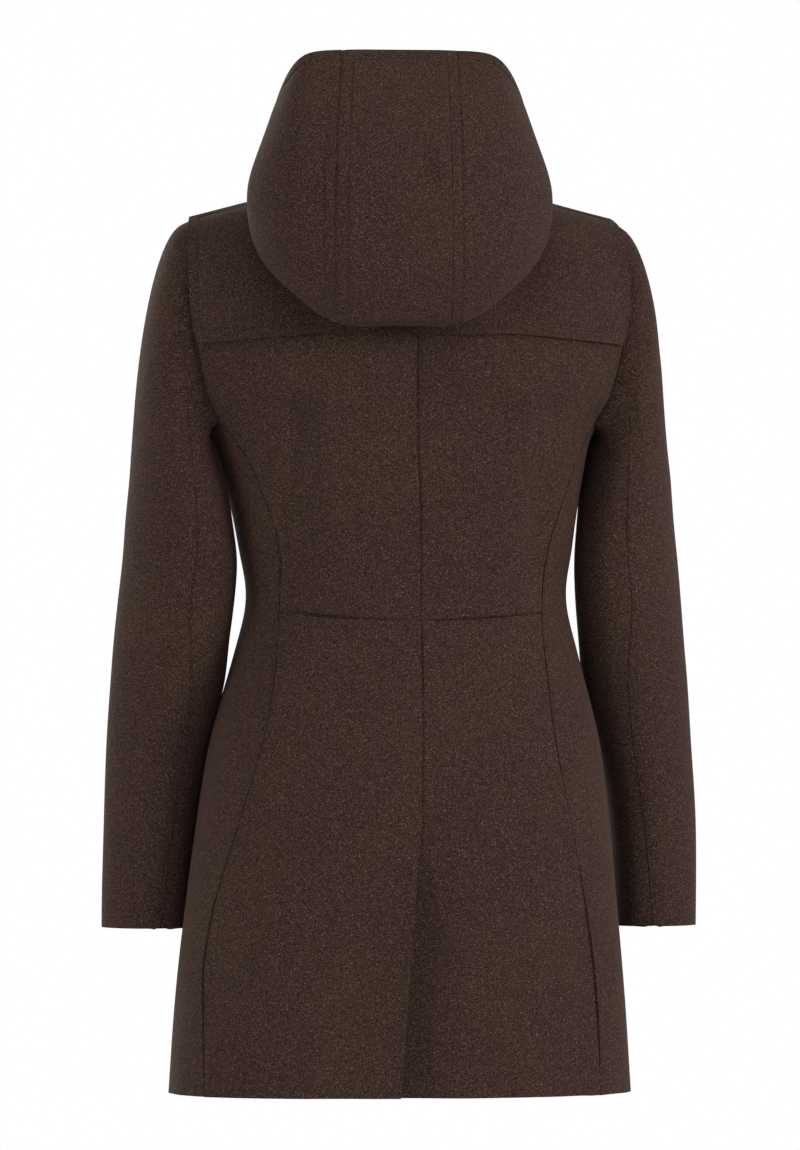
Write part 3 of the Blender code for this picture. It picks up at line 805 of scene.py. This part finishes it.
@dataclass
class Tailor:
    """Cuts each visible piece of cloth from its CAD wall, shapes it and sews it.

    Lengths are in millimetres.
    """

    drape: Drape
    neighbours: Neighbours
    levels: int = 2
    rounds: int = 4
    free_roll: float = 1.4
    inner_roll: float = 0.4
    seam_reach: float = 3.6
    seam_growth: float = 0.2
    border: float = 4.0
    stitch_inset: float = 10.4
    groove_half: float = 1.5
    groove_depth: float = 1.1
    stitch_pitch: float = 3.7
    stitch_length: float = 2.9
    stitch_radius: float = 0.3
    stitch_lift: float = 0.1
    stitch_sides: int = 6
    stitch_rings: int = 4
    roll_rounds: int = 3
    stitch_model: tuple = field(default=(), repr=False)

    def copy_of(self, node: str, name: str) -> bpy.types.Object:
        """Copies a CAD node's mesh into a new object, merged and in four-sided faces.

        Args:
            node: the node's name.
            name: the new object's name.

        Returns:
            The new object.
        """
        made = opened(bpy.data.objects[node].data)
        for face in made.faces:
            face.material_index = RIM
            face.smooth = True
        mesh = bpy.data.meshes.new(name)
        made.to_mesh(mesh)
        made.free()
        return add(name, mesh)

    @staticmethod
    def sides_of(made: bmesh.types.BMesh) -> list[list[bmesh.types.BMFace]]:
        """Finds the sides of a wall up to its sharp edges, the largest first.

        Args:
            made: the wall's mesh.

        Returns:
            The faces of its outer side, its inner side and its rims.
        """
        sides: list[list[bmesh.types.BMFace]] = []
        left = dict.fromkeys(made.faces)
        while left:
            side = [next(iter(left))]
            del left[side[0]]
            for face in side:
                for edge in face.edges:
                    if edge.calc_face_angle(0.0) > SHARP_EDGE:
                        continue
                    for other in edge.link_faces:
                        if other in left:
                            del left[other]
                            side.append(other)
            sides.append(side)
        return sorted(sides, key=lambda side: -sum(face.calc_area() for face in side))

    @staticmethod
    def inset(made: bmesh.types.BMesh, region: list[bmesh.types.BMFace], step: float) -> None:
        """Cuts a line beside the edges of a region, which shrinks to what is inside the line.

        Args:
            made: the wall's mesh.
            region: its outer faces.
            step: the line's distance, in millimetres.
        """
        inside = set(region)
        numbers = {v: k for k, v in enumerate(dict.fromkeys(v for f in region for v in f.verts))}
        wall = BVHTree.FromPolygons(
            [v.co.copy() for v in numbers], [tuple(numbers[v] for v in f.verts) for f in region]
        )
        border = dict.fromkeys(v for e in border_of(region) for v in e.verts)
        tree = KDTree(len(border))
        for k, v in enumerate(border):
            tree.insert(v.co, k)
        tree.balance()
        ring = bmesh.ops.inset_region(
            made, faces=region, thickness=step * MM, use_boundary=True, use_even_offset=True
        )["faces"]
        for face in ring:
            face.material_index = OUTSIDE
        reach = step * MITRE_LIMIT * MM
        for v in {v for f in ring for v in f.verts if any(o in inside for o in v.link_faces)}:
            home, _, gap = tree.find(v.co)
            if gap > reach:
                v.co = home + (v.co - home) * (reach / gap)
            v.co = wall.find_nearest(v.co)[0]

    def groove_line(self, made: bmesh.types.BMesh, region: list[bmesh.types.BMFace]) -> set[tuple]:
        """Cuts the lines of a topstitched groove beside the edges of a wall's outer side.

        Args:
            made: the wall's mesh.
            region: its outer faces.

        Returns:
            The places of the groove's middle line.
        """
        self.inset(made, region, self.stitch_inset - self.border - self.groove_half)
        self.inset(made, region, self.groove_half)
        middle = {place_key(v) for e in border_of(region) for v in e.verts}
        self.inset(made, region, self.groove_half)
        return middle

    def mark(
        self, made: bmesh.types.BMesh, region: list[bmesh.types.BMFace], rule: Topstitch
    ) -> None:
        """Marks a wall's outer side and its sharp edges, and presses its groove in.

        Args:
            made: the wall's mesh.
            region: its outer faces.
            rule: where it is topstitched.
        """
        for face in region:
            face.material_index = OUTSIDE
        self.inset(made, region, self.border)
        middle = self.groove_line(made, region) if rule is not Topstitch.NONE else set()
        made.normal_update()
        crease = made.edges.layers.float.new("crease_edge")
        on_line = {v for v in made.verts if middle and place_key(v) in middle}
        for edge in made.edges:
            edge[crease] = 1.0 if edge.calc_face_angle(0.0) > SHARP_EDGE else 0.0
            both = edge.verts[0] in on_line and edge.verts[1] in on_line
            edge.seam = both and rule.holds((edge.verts[0].co + edge.verts[1].co) / 2)
        pressed = [v for v in on_line if rule.holds(v.co)]
        for v in pressed:
            v.co -= v.normal * self.groove_depth * MM

    def prepare(self, piece: bpy.types.Object, rule: Topstitch) -> None:
        """Marks the wall of a panel.

        Args:
            piece: the wall's copy.
            rule: where it is topstitched.
        """
        with editing(piece.data) as made:
            made.normal_update()
            outer, inner = self.sides_of(made)[:2]
            for face in inner:
                face.material_index = INSIDE
            self.mark(made, outer, rule)

    def smooth(self, piece: bpy.types.Object) -> None:
        """Subdivides a wall so that the smooth cloth still runs through its own points.

        Args:
            piece: the prepared wall.
        """
        modifier = piece.modifiers.new("Smooth", "SUBSURF")
        modifier.levels = modifier.render_levels = self.levels
        modifier.use_limit_surface = True
        mesh = piece.data
        target = places_of(mesh.vertices)
        control = target.copy()
        for _ in range(self.rounds):
            mesh.vertices.foreach_set("co", control.ravel())
            mesh.update()
            shown = piece.evaluated_get(bpy.context.evaluated_depsgraph_get())
            control += target - places_of(shown.to_mesh().vertices)[: len(target)]
            shown.to_mesh_clear()
        mesh.vertices.foreach_set("co", control.ravel())
        mesh.update()
        activate(piece)
        bpy.ops.object.modifier_apply(modifier=modifier.name)

    def roll_edges(
        self, piece: bpy.types.Object, node: str, seam_roll: float, free_roll: float
    ) -> None:
        """Rounds the edges of the wall, as pressed cloth is.

        Args:
            piece: the smooth wall.
            node: its node.
            seam_roll: how far in its outer edges are rounded at a seam, in millimetres.
            free_roll: the same where nothing is sewn on.
        """
        for side, sewn, roll in (
            (OUTSIDE, True, seam_roll),
            (OUTSIDE, False, free_roll),
            (INSIDE, None, self.inner_roll),
        ):
            with editing(piece.data) as made:
                for item in (*made.verts, *made.edges, *made.faces):
                    item.select_set(False)
                for edge in made.edges:
                    kinds = {face.material_index for face in edge.link_faces}
                    if kinds != {side, RIM} or edge.calc_face_angle(0.0) < ROLLED_EDGE:
                        continue
                    middle = (edge.verts[0].co + edge.verts[1].co) / 2
                    if sewn is None or self.neighbours.touches(node, middle) == sewn:
                        edge.select_set(True)
            activate(piece)
            bpy.ops.object.mode_set(mode="EDIT")
            bpy.ops.mesh.select_mode(type="EDGE")
            bpy.ops.mesh.bevel(
                offset=roll * MM, segments=self.roll_rounds, affect="EDGES", clamp_overlap=True
            )
            bpy.ops.object.mode_set(mode="OBJECT")

    @staticmethod
    def ease(piece: bpy.types.Object, strip: tuple[float, float, float]) -> None:
        """Evens out the step that the cloth makes over an edge lying under it.

        Args:
            piece: the smooth wall.
            strip: the strip's two sides along X and its top, in millimetres.
        """
        near, far, top = strip
        with editing(piece.data) as made:
            verts = [v for v in made.verts if near < v.co.x / MM < far and v.co.z / MM < top]
            for _ in range(EASE_ROUNDS):
                bmesh.ops.smooth_vert(
                    made, verts=verts, factor=0.5,
                    use_axis_x=False, use_axis_y=True, use_axis_z=False,
                )

    def hang(self, piece: bpy.types.Object, panel: Panel) -> None:
        """Moves both faces of the cloth with the drape, and draws the outer one in at the seams.

        Its edges grow to meet the next panel's, as sewn edges do.

        Args:
            piece: the smooth wall.
            panel: its cut.
        """
        mesh = piece.data
        mesh.update()
        places = places_of(mesh.vertices)
        normals = np.zeros_like(places)
        outer = np.zeros(len(places), dtype=bool)
        other = np.zeros(len(places), dtype=bool)
        growth = np.zeros_like(places)
        for face in mesh.polygons:
            corners = list(face.vertices)
            if face.material_index == OUTSIDE:
                outer[corners] = True
                normals[corners] += np.array(face.normal) * face.area
            else:
                other[corners] = True
            if face.material_index == RIM:
                growth[corners] += np.array(face.normal) * face.area
        for ways in (normals, growth):
            ways /= np.maximum(np.linalg.norm(ways, axis=1), TINY)[:, None]
        numbers = np.flatnonzero(outer)
        border = np.flatnonzero(outer & other)
        tree, edge_tree = KDTree(len(numbers)), KDTree(len(border))
        for k in numbers:
            tree.insert(places[k], int(k))
        sewn = np.zeros(len(places))
        for k in border:
            edge_tree.insert(places[k], int(k))
            sewn[k] = self.neighbours.touches(panel.node, Vector(places[k]))
        tree.balance()
        edge_tree.balance()
        lifts = self.drape.sways(places)
        folds = self.drape.folds(places, panel.folds)
        moves = np.zeros_like(places)
        for k, place in enumerate(places):
            home = k if outer[k] else tree.find(place)[1]
            moves[k] = normals[home] * lifts[home] + np.array((0.0, folds[home], 0.0))
            if outer[k] and panel.sink:
                _, edge, gap = edge_tree.find(place)
                share = max(0.0, 1.0 - gap / MM / self.seam_reach)
                moves[k] -= normals[k] * panel.sink * sewn[edge] * MM * share**2
        moves += growth * self.seam_growth * MM
        mesh.vertices.foreach_set("co", (places + moves).ravel())
        mesh.update()

    def stitched_rows(self, piece: bpy.types.Object) -> list[list[tuple[Vector, Vector]]]:
        """Follows the grooves left for topstitching.

        Args:
            piece: the finished cloth.

        Returns:
            Rows of points with the cloth's normal there.
        """
        mesh = piece.data
        links: dict[int, list[int]] = {}
        for edge in mesh.edges:
            if edge.use_seam:
                a, b = edge.vertices
                links.setdefault(a, []).append(b)
                links.setdefault(b, []).append(a)
            edge.use_seam = False
        rows = []
        while links:
            ends = sorted(v for v, near in links.items() if len(near) == 1)
            row = [ends[0] if ends else min(links)]
            while True:
                onward = [v for v in links.get(row[-1], ()) if v in links and v not in row]
                if not onward:
                    break
                row.append(onward[0])
            for v in row:
                links.pop(v, None)
            if len(row) > 2:
                verts = [mesh.vertices[v] for v in row]
                rows.append([(v.co.copy(), v.normal.copy()) for v in verts])
        return rows

    def stitch_shape(self) -> tuple[np.ndarray, list[tuple[int, ...]]]:
        """Models one stitch, lying along X.

        Returns:
            Its points in metres and its faces.
        """
        if not self.stitch_model:
            deselect()
            bpy.ops.mesh.primitive_uv_sphere_add(
                segments=self.stitch_sides, ring_count=self.stitch_rings, radius=1.0
            )
            ball = bpy.context.object
            bpy.ops.transform.resize(
                value=(self.stitch_length / 2 * MM, self.stitch_radius * MM, self.stitch_radius * MM)
            )
            bpy.ops.object.transform_apply(location=True, rotation=True, scale=True)
            points = places_of(ball.data.vertices)
            faces = [tuple(face.vertices) for face in ball.data.polygons]
            bpy.data.objects.remove(ball)
            self.stitch_model = (points, faces)
        return self.stitch_model

    def sew(self, name: str, rows: list[list[tuple[Vector, Vector]]]) -> bpy.types.Object | None:
        """Lays stitches along rows on the cloth.

        Args:
            name: the new piece's name.
            rows: points with normals.

        Returns:
            The stitching, or None where there is no row.
        """
        shape, shape_faces = self.stitch_shape()
        points: list[np.ndarray] = []
        faces: list[tuple[int, ...]] = []
        for row in rows:
            steps = [(b[0] - a[0]).length for a, b in zip(row, row[1:])]
            total = sum(steps)
            count = int(total / (self.stitch_pitch * MM))
            for n in range(count):
                want = (n + 0.5) * total / count
                k = 0
                while k < len(steps) - 1 and want > steps[k]:
                    want -= steps[k]
                    k += 1
                share = want / steps[k]
                spot = row[k][0].lerp(row[k + 1][0], share)
                normal = row[k][1].lerp(row[k + 1][1], share).normalized()
                along = (row[k + 1][0] - row[k][0]).normalized()
                side = normal.cross(along).normalized()
                turn = np.array([along, side, along.cross(side)])
                start = len(points) * len(shape)
                points.append(shape @ turn + np.array(spot + normal * self.stitch_lift * MM))
                faces.extend(tuple(start + i for i in face) for face in shape_faces)
        if not points:
            return None
        mesh = bpy.data.meshes.new(name)
        mesh.from_pydata(np.concatenate(points).tolist(), [], faces)
        piece = add(name, mesh)
        paint(piece, Finish.THREAD.material())
        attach(piece, "root")
        return piece

    def make(self, panel: Panel) -> bpy.types.Object:
        """Makes one visible piece of cloth, with its stitching.

        Args:
            panel: its cut.

        Returns:
            The finished cloth.
        """
        piece = self.copy_of(panel.node, panel.node + "_cloth")
        self.prepare(piece, panel.topstitch)
        self.smooth(piece)
        if panel.eased:
            self.ease(piece, panel.eased)
        self.roll_edges(piece, panel.node, panel.roll, self.free_roll)
        self.hang(piece, panel)
        rows = self.stitched_rows(piece)
        paint(piece, Finish.WOOL.material())
        thread = self.sew(panel.node + "_stitching", rows)
        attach(piece, "root")
        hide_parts(panel.node)
        LOG.info("%s: %d faces, %d stitched rows", piece.name, len(piece.data.polygons), len(rows))
        return piece


# ---------------------------------------------------------------- the coat's parts


CREASES = (
    Crease(((104, -150), (107, -250), (101, -380)), 22, -8.0, (0.25, 0.3)),
    Crease(((84, -150), (86, -320)), 18, 2.6),
    Crease(((-96, -165), (-100, -245)), 22, 4.0),
    Crease(((-120, -230), (-115, -300), (-106, -370)), 20, -5.6),
)
# The topstitching, roll and sink of a yoke, and the roll and sink of the hood
YOKE_EDGES = (Topstitch.YOKE, 1.2, 0.0)
HOOD_EDGES = (0.8, 0.8)
OVERLAP_FOLDS = (
    Crease(((-4, -600), (4, -700), (16, -900)), 16, 3.6, (0.2, 0.01)),
    Crease(((34, -640), (58, -760), (90, -900)), 36, -6.0, (0.3, 0.01)),
)
UNDERLAP_FOLDS = (
    Crease(((-4, -600), (2, -700), (14, -900)), 56, -10.0, (0.3, 0.01)),
    Crease(((56, -600), (62, -900)), 44, -6.0, (0.1, 0.01)),
)
HOOD_DENT = (Crease(((-6, 16), (6, 12), (16, 16)), 36, -5.0),)
HOOD_FOLDS = (
    Crease(((-118, 6), (-112, -14), (-100, -38)), 12, 2.6),
    Crease(((-130, -8), (-124, -26), (-112, -46)), 10, 2.4),
)


@dataclass
class PanelGroup:
    """A part of the coat that is sewn from flat cuts."""

    tailor: Tailor
    panels: tuple[Panel, ...] = ()

    def build(self) -> list[bpy.types.Object]:
        """Makes the part's pieces.

        Returns:
            The finished cloth.
        """
        return [self.tailor.make(panel) for panel in self.panels]


@dataclass
class Back(PanelGroup):
    """The back: two panels above the waist, and two below it that lap at the vent."""

    panels: tuple[Panel, ...] = (
        Panel("back_upper_left", (232, 451), 0.0777, ("yoke_back",)),
        Panel("back_upper_right", (232, 449), 0.0769, ("yoke_back",)),
        Panel(
            "back_lower_left", (204, 455), 0.0769, ("back_upper_left",),
            folds=OVERLAP_FOLDS, eased=(14.0, 72.0, -575.0),
        ),
        Panel("back_lower_right", (231, 467), 0.0791, ("back_upper_right",), folds=UNDERLAP_FOLDS),
    )


@dataclass
class Sides(PanelGroup):
    """The two side panels, each in one piece from the armhole to the hem."""

    panels: tuple[Panel, ...] = (
        Panel("side_left", (216, 645), 0.1158, ("sleeve_under_left", "back_upper_left")),
        Panel("side_right", (239, 636), 0.1274, ("sleeve_under_right", "back_upper_right")),
    )


@dataclass
class Fronts(PanelGroup):
    """The fronts, cut at the waist; the right one laps over the left."""

    panels: tuple[Panel, ...] = (
        Panel("front_upper_left", (240, 449), 0.0714, ("yoke_front_left",)),
        Panel("front_upper_right", (240, 448), 0.0731, ("yoke_front_right",)),
        Panel("front_lower_left", (173, 445), 0.0680, ("front_upper_left",)),
        Panel("front_lower_right", (178, 444), 0.0701, ("front_upper_right",)),
    )


@dataclass
class Yokes(PanelGroup):
    """The storm yokes, sewn on at the neck and shoulders and loose below."""

    panels: tuple[Panel, ...] = (
        Panel("yoke_back", (467, 189), 0.0711, ("back_upper_left", "back_upper_right"), *YOKE_EDGES),
        Panel("yoke_front_left", (190, 196), 0.0247, ("front_upper_left",), *YOKE_EDGES),
        Panel("yoke_front_right", (230, 196), 0.0321, ("front_upper_right",), *YOKE_EDGES),
    )


@dataclass
class Sleeves(PanelGroup):
    """The two-piece sleeves."""

    panels: tuple[Panel, ...] = (
        Panel("sleeve_upper_left", (215, 670), 0.1015, ("yoke_back", "yoke_front_left")),
        Panel("sleeve_under_left", (226, 533), 0.0870, ("side_left",)),
        Panel("sleeve_upper_right", (215, 671), 0.1010, ("yoke_back", "yoke_front_right")),
        Panel("sleeve_under_right", (226, 537), 0.0871, ("side_right",)),
    )


@dataclass
class Hood(PanelGroup):
    """The hood: two sides and the gusset between them."""

    panels: tuple[Panel, ...] = (
        Panel(
            "hood_center", (117, 494), 0.0503, ("yoke_back",),
            Topstitch.HOOD_CENTER, *HOOD_EDGES, HOOD_DENT,
        ),
        Panel(
            "hood_side_left", (300, 345), 0.0583, ("yoke_front_left",),
            Topstitch.HOOD_SIDE, *HOOD_EDGES, HOOD_FOLDS,
        ),
        Panel(
            "hood_side_right", (300, 345), 0.0605, ("yoke_front_right",),
            Topstitch.HOOD_SIDE, *HOOD_EDGES, HOOD_FOLDS,
        ),
    )


@dataclass
class Saddler(Tailor):
    """Sews the leather patches, with finer stitches nearer to the edge."""

    border: float = 1.0
    stitch_inset: float = 2.8
    groove_half: float = 0.6
    groove_depth: float = 0.35
    stitch_pitch: float = 2.9
    stitch_length: float = 2.2


def tube_rings(made: bmesh.types.BMesh) -> list[Vector]:
    """Finds the middle line of a capped tube.

    Args:
        made: the tube's mesh.

    Returns:
        The middle of each ring, from one end to the other.
    """
    rim = [e for e in made.edges if e.calc_face_angle(0.0) > TUBE_RIM]
    first = min(rim, key=lambda e: (round(abs(e.verts[0].co.z), HEIGHT_DIGITS), e.index))
    ring = {first.verts[0], first.verts[1]}
    grown = True
    while grown:
        grown = False
        for edge in rim:
            if (edge.verts[0] in ring) != (edge.verts[1] in ring):
                ring.update(edge.verts)
                grown = True
    seen = set(ring)
    middles = []
    while ring:
        in_order = sorted(ring, key=lambda v: v.index)
        middles.append(sum((v.co for v in in_order), Vector()) / len(ring))
        ring = {e.other_vert(v) for v in ring for e in v.link_edges} - seen
        seen |= ring
    return middles


@dataclass
class Closing:
    """Four rows of a horn toggle, two cord loops and two leather patches.

    Lengths are in millimetres. The toggle's profile is its places along X and its radii.
    """

    drape: Drape
    neighbours: Neighbours
    rows: int = 4
    patch_roll: float = 0.7
    plies: int = 3
    ply_pitch: float = 8.5
    ply_depth: float = 0.20
    cord_radius: float = 2.0
    cord_sides: int = 15
    ring_step: float = 1.0
    dip: float = 3.4
    dip_length: float = 7.0
    toggle_sides: int = 28
    bow: float = 1.6
    turns: tuple = (-3.6, -1.2, 1.2, 3.6)
    turn_radius: float = 5.6
    turn_half: float = 1.25
    turn_sides: tuple = (32, 8)
    profile: tuple = (
        (-26.0, 0.0), (-26.0, 1.5), (-25.3, 3.0), (-23.5, 4.2), (-20.0, 5.1), (-14.0, 6.0),
        (-8.5, 6.4), (-6.2, 6.3), (-5.4, 5.6), (-3.2, 5.3), (3.2, 5.3), (5.4, 5.6), (6.2, 6.3),
        (8.5, 6.3), (14.0, 5.7), (20.0, 4.7), (23.7, 3.7), (25.4, 2.6), (26.0, 1.2), (26.0, 0.0),
    )

    def finish(self, piece: bpy.types.Object, slot: str, finish: Finish, *nodes: str) -> None:
        """Gives a hard piece its material and body, and hides the CAD nodes that it stands for.

        Args:
            piece: the piece.
            slot: not used.
            finish: its finish.
            *nodes: the CAD nodes that it stands for.
        """
        paint(piece, finish.material())
        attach(piece, "root")
        if nodes:
            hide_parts(*nodes)
        LOG.info("%s: %d faces", piece.name, len(piece.data.polygons))

    def shift(self, piece: bpy.types.Object) -> None:
        """Moves a hard piece out or in with the cloth under it.

        Args:
            piece: the piece.
        """
        middle = places_of(piece.data.vertices).mean(axis=0, keepdims=True)
        lift = float(self.drape.sways(middle)[0])
        piece.data.transform(Matrix.Translation((0.0, -lift, 0.0)))

    def patch(self, saddler: Saddler, node: str) -> None:
        """Makes one leather patch with its stitching.

        Args:
            saddler: sews the patch.
            node: the patch's node.
        """
        piece = saddler.copy_of(node, node + "_leather")
        with editing(piece.data) as made:
            bmesh.ops.recalc_face_normals(made, faces=made.faces)
            outside = max(
                ([f for f in made.faces if f.normal.y * side > 0.5] for side in (-1, 1)),
                key=lambda faces: -sum(f.calc_center_median().y for f in faces) / max(1, len(faces)),
            )
            saddler.mark(made, outside, Topstitch.ALL)
        saddler.smooth(piece)
        saddler.roll_edges(piece, node, self.patch_roll, self.patch_roll)
        self.shift(piece)
        rows = saddler.stitched_rows(piece)
        self.finish(piece, "leather", Finish.LEATHER, node)
        saddler.sew(node + "_stitching", rows)

    def cord(self, node: str) -> None:
        """Makes one cord loop of three plied yarns, whose ends dip into the patch.

        Args:
            node: the loop's node.
        """
        made = opened(bpy.data.objects[node].data)
        middles = tube_rings(made)
        made.free()
        line = smooth_path(middles, self.ring_step * MM)
        total = len(line) - 1
        points, faces = [], []
        for k, spot in enumerate(line):
            along = (line[min(k + 1, total)] - line[max(k - 1, 0)]).normalized()
            up = Vector((0.0, -1.0, 0.0))
            side = along.cross(up).normalized()
            up = side.cross(along).normalized()
            to_end = min(k, total - k) * self.ring_step
            sunk = self.dip * MM * max(0.0, 1.0 - to_end / self.dip_length) ** 2
            turn = 2 * math.pi * k * self.ring_step / self.ply_pitch
            for n in range(self.cord_sides):
                angle = 2 * math.pi * n / self.cord_sides
                dent = self.ply_depth * (1.0 - abs(math.cos(self.plies / 2 * (angle - turn))))
                reach = self.cord_radius * (1.0 - dent) * MM
                offset = side * math.cos(angle) * reach + up * math.sin(angle) * reach
                points.append(spot + offset - up * sunk)
        count = self.cord_sides
        for k in range(total):
            for n in range(count):
                a, b = k * count + n, k * count + (n + 1) % count
                faces.append((a, b, b + count, a + count))
        faces.append(tuple(range(count))[::-1])
        faces.append(tuple(total * count + n for n in range(count)))
        mesh = bpy.data.meshes.new(node + "_rope")
        mesh.from_pydata(points, [], faces)
        with editing(mesh) as made:
            bmesh.ops.recalc_face_normals(made, faces=made.faces)
        piece = add(node + "_rope", mesh)
        self.shift(piece)
        self.finish(piece, "cord", Finish.CORD, node)

    def toggle(self, node: str) -> None:
        """Turns one horn toggle, bowed a little, and binds its waist with thread.

        Args:
            node: the toggle's node.
        """
        low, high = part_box(node)
        centre = (Vector(low) + Vector(high)) / 2
        mesh = bpy.data.meshes.new(node + "_horn")
        points = [(x * MM, 0.0, r * MM) for x, r in self.profile]
        mesh.from_pydata(points, [(k, k + 1) for k in range(len(points) - 1)], [])
        piece = add(node + "_horn", mesh)
        activate(piece)
        bpy.ops.object.mode_set(mode="EDIT")
        bpy.ops.mesh.select_all(action="SELECT")
        bpy.ops.mesh.spin(
            steps=self.toggle_sides, angle=2 * math.pi, center=(0, 0, 0), axis=(1, 0, 0)
        )
        bpy.ops.mesh.select_all(action="SELECT")
        bpy.ops.mesh.remove_doubles(threshold=2 * MERGED * MM)
        bpy.ops.mesh.normals_make_consistent(inside=False)
        bpy.ops.object.mode_set(mode="OBJECT")
        modifier = piece.modifiers.new("Polish", "SUBSURF")
        modifier.levels = modifier.render_levels = 1
        bpy.ops.object.modifier_apply(modifier=modifier.name)
        half = self.profile[-1][0] * MM
        for v in piece.data.vertices:
            v.co.z -= self.bow * MM * (v.co.x / half) ** 2
            v.co += centre
        self.shift(piece)
        self.finish(piece, "horn", Finish.HORN, node)
        deselect()
        turns = []
        for x in self.turns:
            bpy.ops.mesh.primitive_torus_add(
                location=(centre.x + x * MM, centre.y, centre.z), rotation=(0.0, math.pi / 2, 0.0),
                major_segments=self.turn_sides[0], minor_segments=self.turn_sides[1],
                major_radius=self.turn_radius * MM, minor_radius=self.turn_half * MM,
            )
            turns.append(bpy.context.object)
        for turn in turns:
            turn.select_set(True)
        bpy.context.view_layer.objects.active = turns[0]
        bpy.ops.object.join()
        binding = bpy.context.object
        binding.name = binding.data.name = node + "_binding"
        bpy.ops.object.transform_apply(location=True, rotation=True, scale=True)
        self.shift(binding)
        self.finish(binding, "cord", Finish.CORD)

    def build(self) -> None:
        """Makes the four rows."""
        saddler = Saddler(self.drape, self.neighbours)
        for number in range(1, self.rows + 1):
            for side in ("left", "right"):
                self.patch(saddler, "patch_%s_%d" % (side, number))
                self.cord("cord_%s_%d" % (side, number))
            self.toggle("toggle_%d" % number)


def smooth_path(corners: list[Vector], step: float) -> list[Vector]:
    """Draws a smooth line through points, at equal steps.

    Args:
        corners: the points.
        step: the distance between the new points, in metres.

    Returns:
        The new points.
    """
    ends = [corners[0] * 2 - corners[1], *corners, corners[-1] * 2 - corners[-2]]
    fine = []
    for a, b, c, d in zip(ends, ends[1:], ends[2:], ends[3:]):
        for n in range(PATH_PARTS):
            t = n / PATH_PARTS
            square, cube = 2 * a - 5 * b + 4 * c - d, 3 * b - a - 3 * c + d
            fine.append(0.5 * (2 * b + (c - a) * t + square * t**2 + cube * t**3))
    fine.append(corners[-1])
    lengths = [0.0]
    for a, b in zip(fine, fine[1:]):
        lengths.append(lengths[-1] + (b - a).length)
    count = max(2, round(lengths[-1] / step))
    line, k = [], 0
    for n in range(count + 1):
        want = lengths[-1] * n / count
        while k < len(fine) - 2 and lengths[k + 1] < want:
            k += 1
        share = (want - lengths[k]) / max(lengths[k + 1] - lengths[k], TINY)
        line.append(fine[k].lerp(fine[k + 1], min(1.0, share)))
    return line


# ---------------------------------------------------------------- studio


@dataclass(frozen=True)
class Lamp:
    """A round soft lamp: its place from the aim in metres, its width, watts and colour."""

    name: str
    across: float
    near: float
    up: float
    width: float
    watts: float
    colour: tuple


@dataclass
class Studio:
    """A pale floor, soft light and the camera."""

    turn: float = 172.0
    distance: float = 9.0
    view_height: float = 1.058
    film_width: float = 36.0
    far_clip: float = 60.0
    aim: tuple = (0.0003, 0.0, -0.354)
    floor_height: float = -1.42
    floor_radius: float = 2.2
    floor_depth: float = 0.02
    floor_sides: int = 96
    sky: tuple = (1.0, 1.0, 1.0, 1.0)
    sky_strength: float = 1.0
    lamps: tuple = (
        Lamp("key", 2.9, 1.7, 1.0, 1.2, 108.0, (1.0, 0.95, 0.88)),
        Lamp("fill", -2.8, 1.6, 0.3, 1.6, 46.0, (1.0, 0.96, 0.86)),
        Lamp("top", 0.2, 1.0, 2.6, 1.4, 14.0, (1.0, 0.90, 0.94)),
        Lamp("front_key", -1.8, -2.4, 1.2, 1.8, 45.0, (1.0, 0.97, 0.94)),
    )

    def build(self) -> None:
        """Makes the studio."""
        angle = math.radians(self.turn)
        back = Vector((math.sin(angle), -math.cos(angle), 0.0))
        right = Vector((-back.y, back.x, 0.0))
        aim = Vector(self.aim)
        camera = bpy.data.cameras.new("camera")
        camera.lens = self.film_width * self.distance / self.view_height
        camera.clip_end = self.far_clip
        eye = add("camera", camera)
        eye.location = aim + back * self.distance
        eye.rotation_euler = (-back).to_track_quat("-Z", "Y").to_euler()
        bpy.context.scene.camera = eye
        for plan in self.lamps:
            lamp = bpy.data.lights.new(plan.name, "AREA")
            lamp.shape = "DISK"
            lamp.size = plan.width
            lamp.energy = plan.watts
            lamp.color = plan.colour
            item = add(plan.name, lamp)
            item.location = aim + right * plan.across + back * plan.near + Vector((0.0, 0.0, plan.up))
            item.rotation_euler = (aim - item.location).to_track_quat("-Z", "Y").to_euler()
        deselect()
        bpy.ops.mesh.primitive_cylinder_add(
            vertices=self.floor_sides, radius=self.floor_radius, depth=self.floor_depth,
            location=(0.0, 0.0, self.floor_height - self.floor_depth / 2),
        )
        floor = bpy.context.object
        floor.name = "floor"
        bpy.ops.object.transform_apply(location=True, rotation=True, scale=True)
        floor.data.materials.append(Finish.FLOOR.material())
        world = bpy.data.worlds.new("studio")
        world.use_nodes = True
        sky = world.node_tree.nodes["Background"]
        sky.inputs["Color"].default_value = self.sky
        sky.inputs["Strength"].default_value = self.sky_strength
        bpy.context.scene.world = world
        bpy.context.scene.view_settings.view_transform = "Standard"


def main() -> None:
    """Builds the coat and the studio."""
    logging.basicConfig(level=logging.INFO, format="%(message)s")
    drape = Drape(CREASES)
    kinds = (Back, Sides, Fronts, Yokes, Sleeves, Hood)
    neighbours = Neighbours([panel.node for kind in kinds for panel in kind.panels])
    tailor = Tailor(drape, neighbours)
    Studio().build()
    for kind in kinds:
        kind(tailor).build()
    Closing(drape, neighbours).build()


if __name__ == "__main__":
    main()
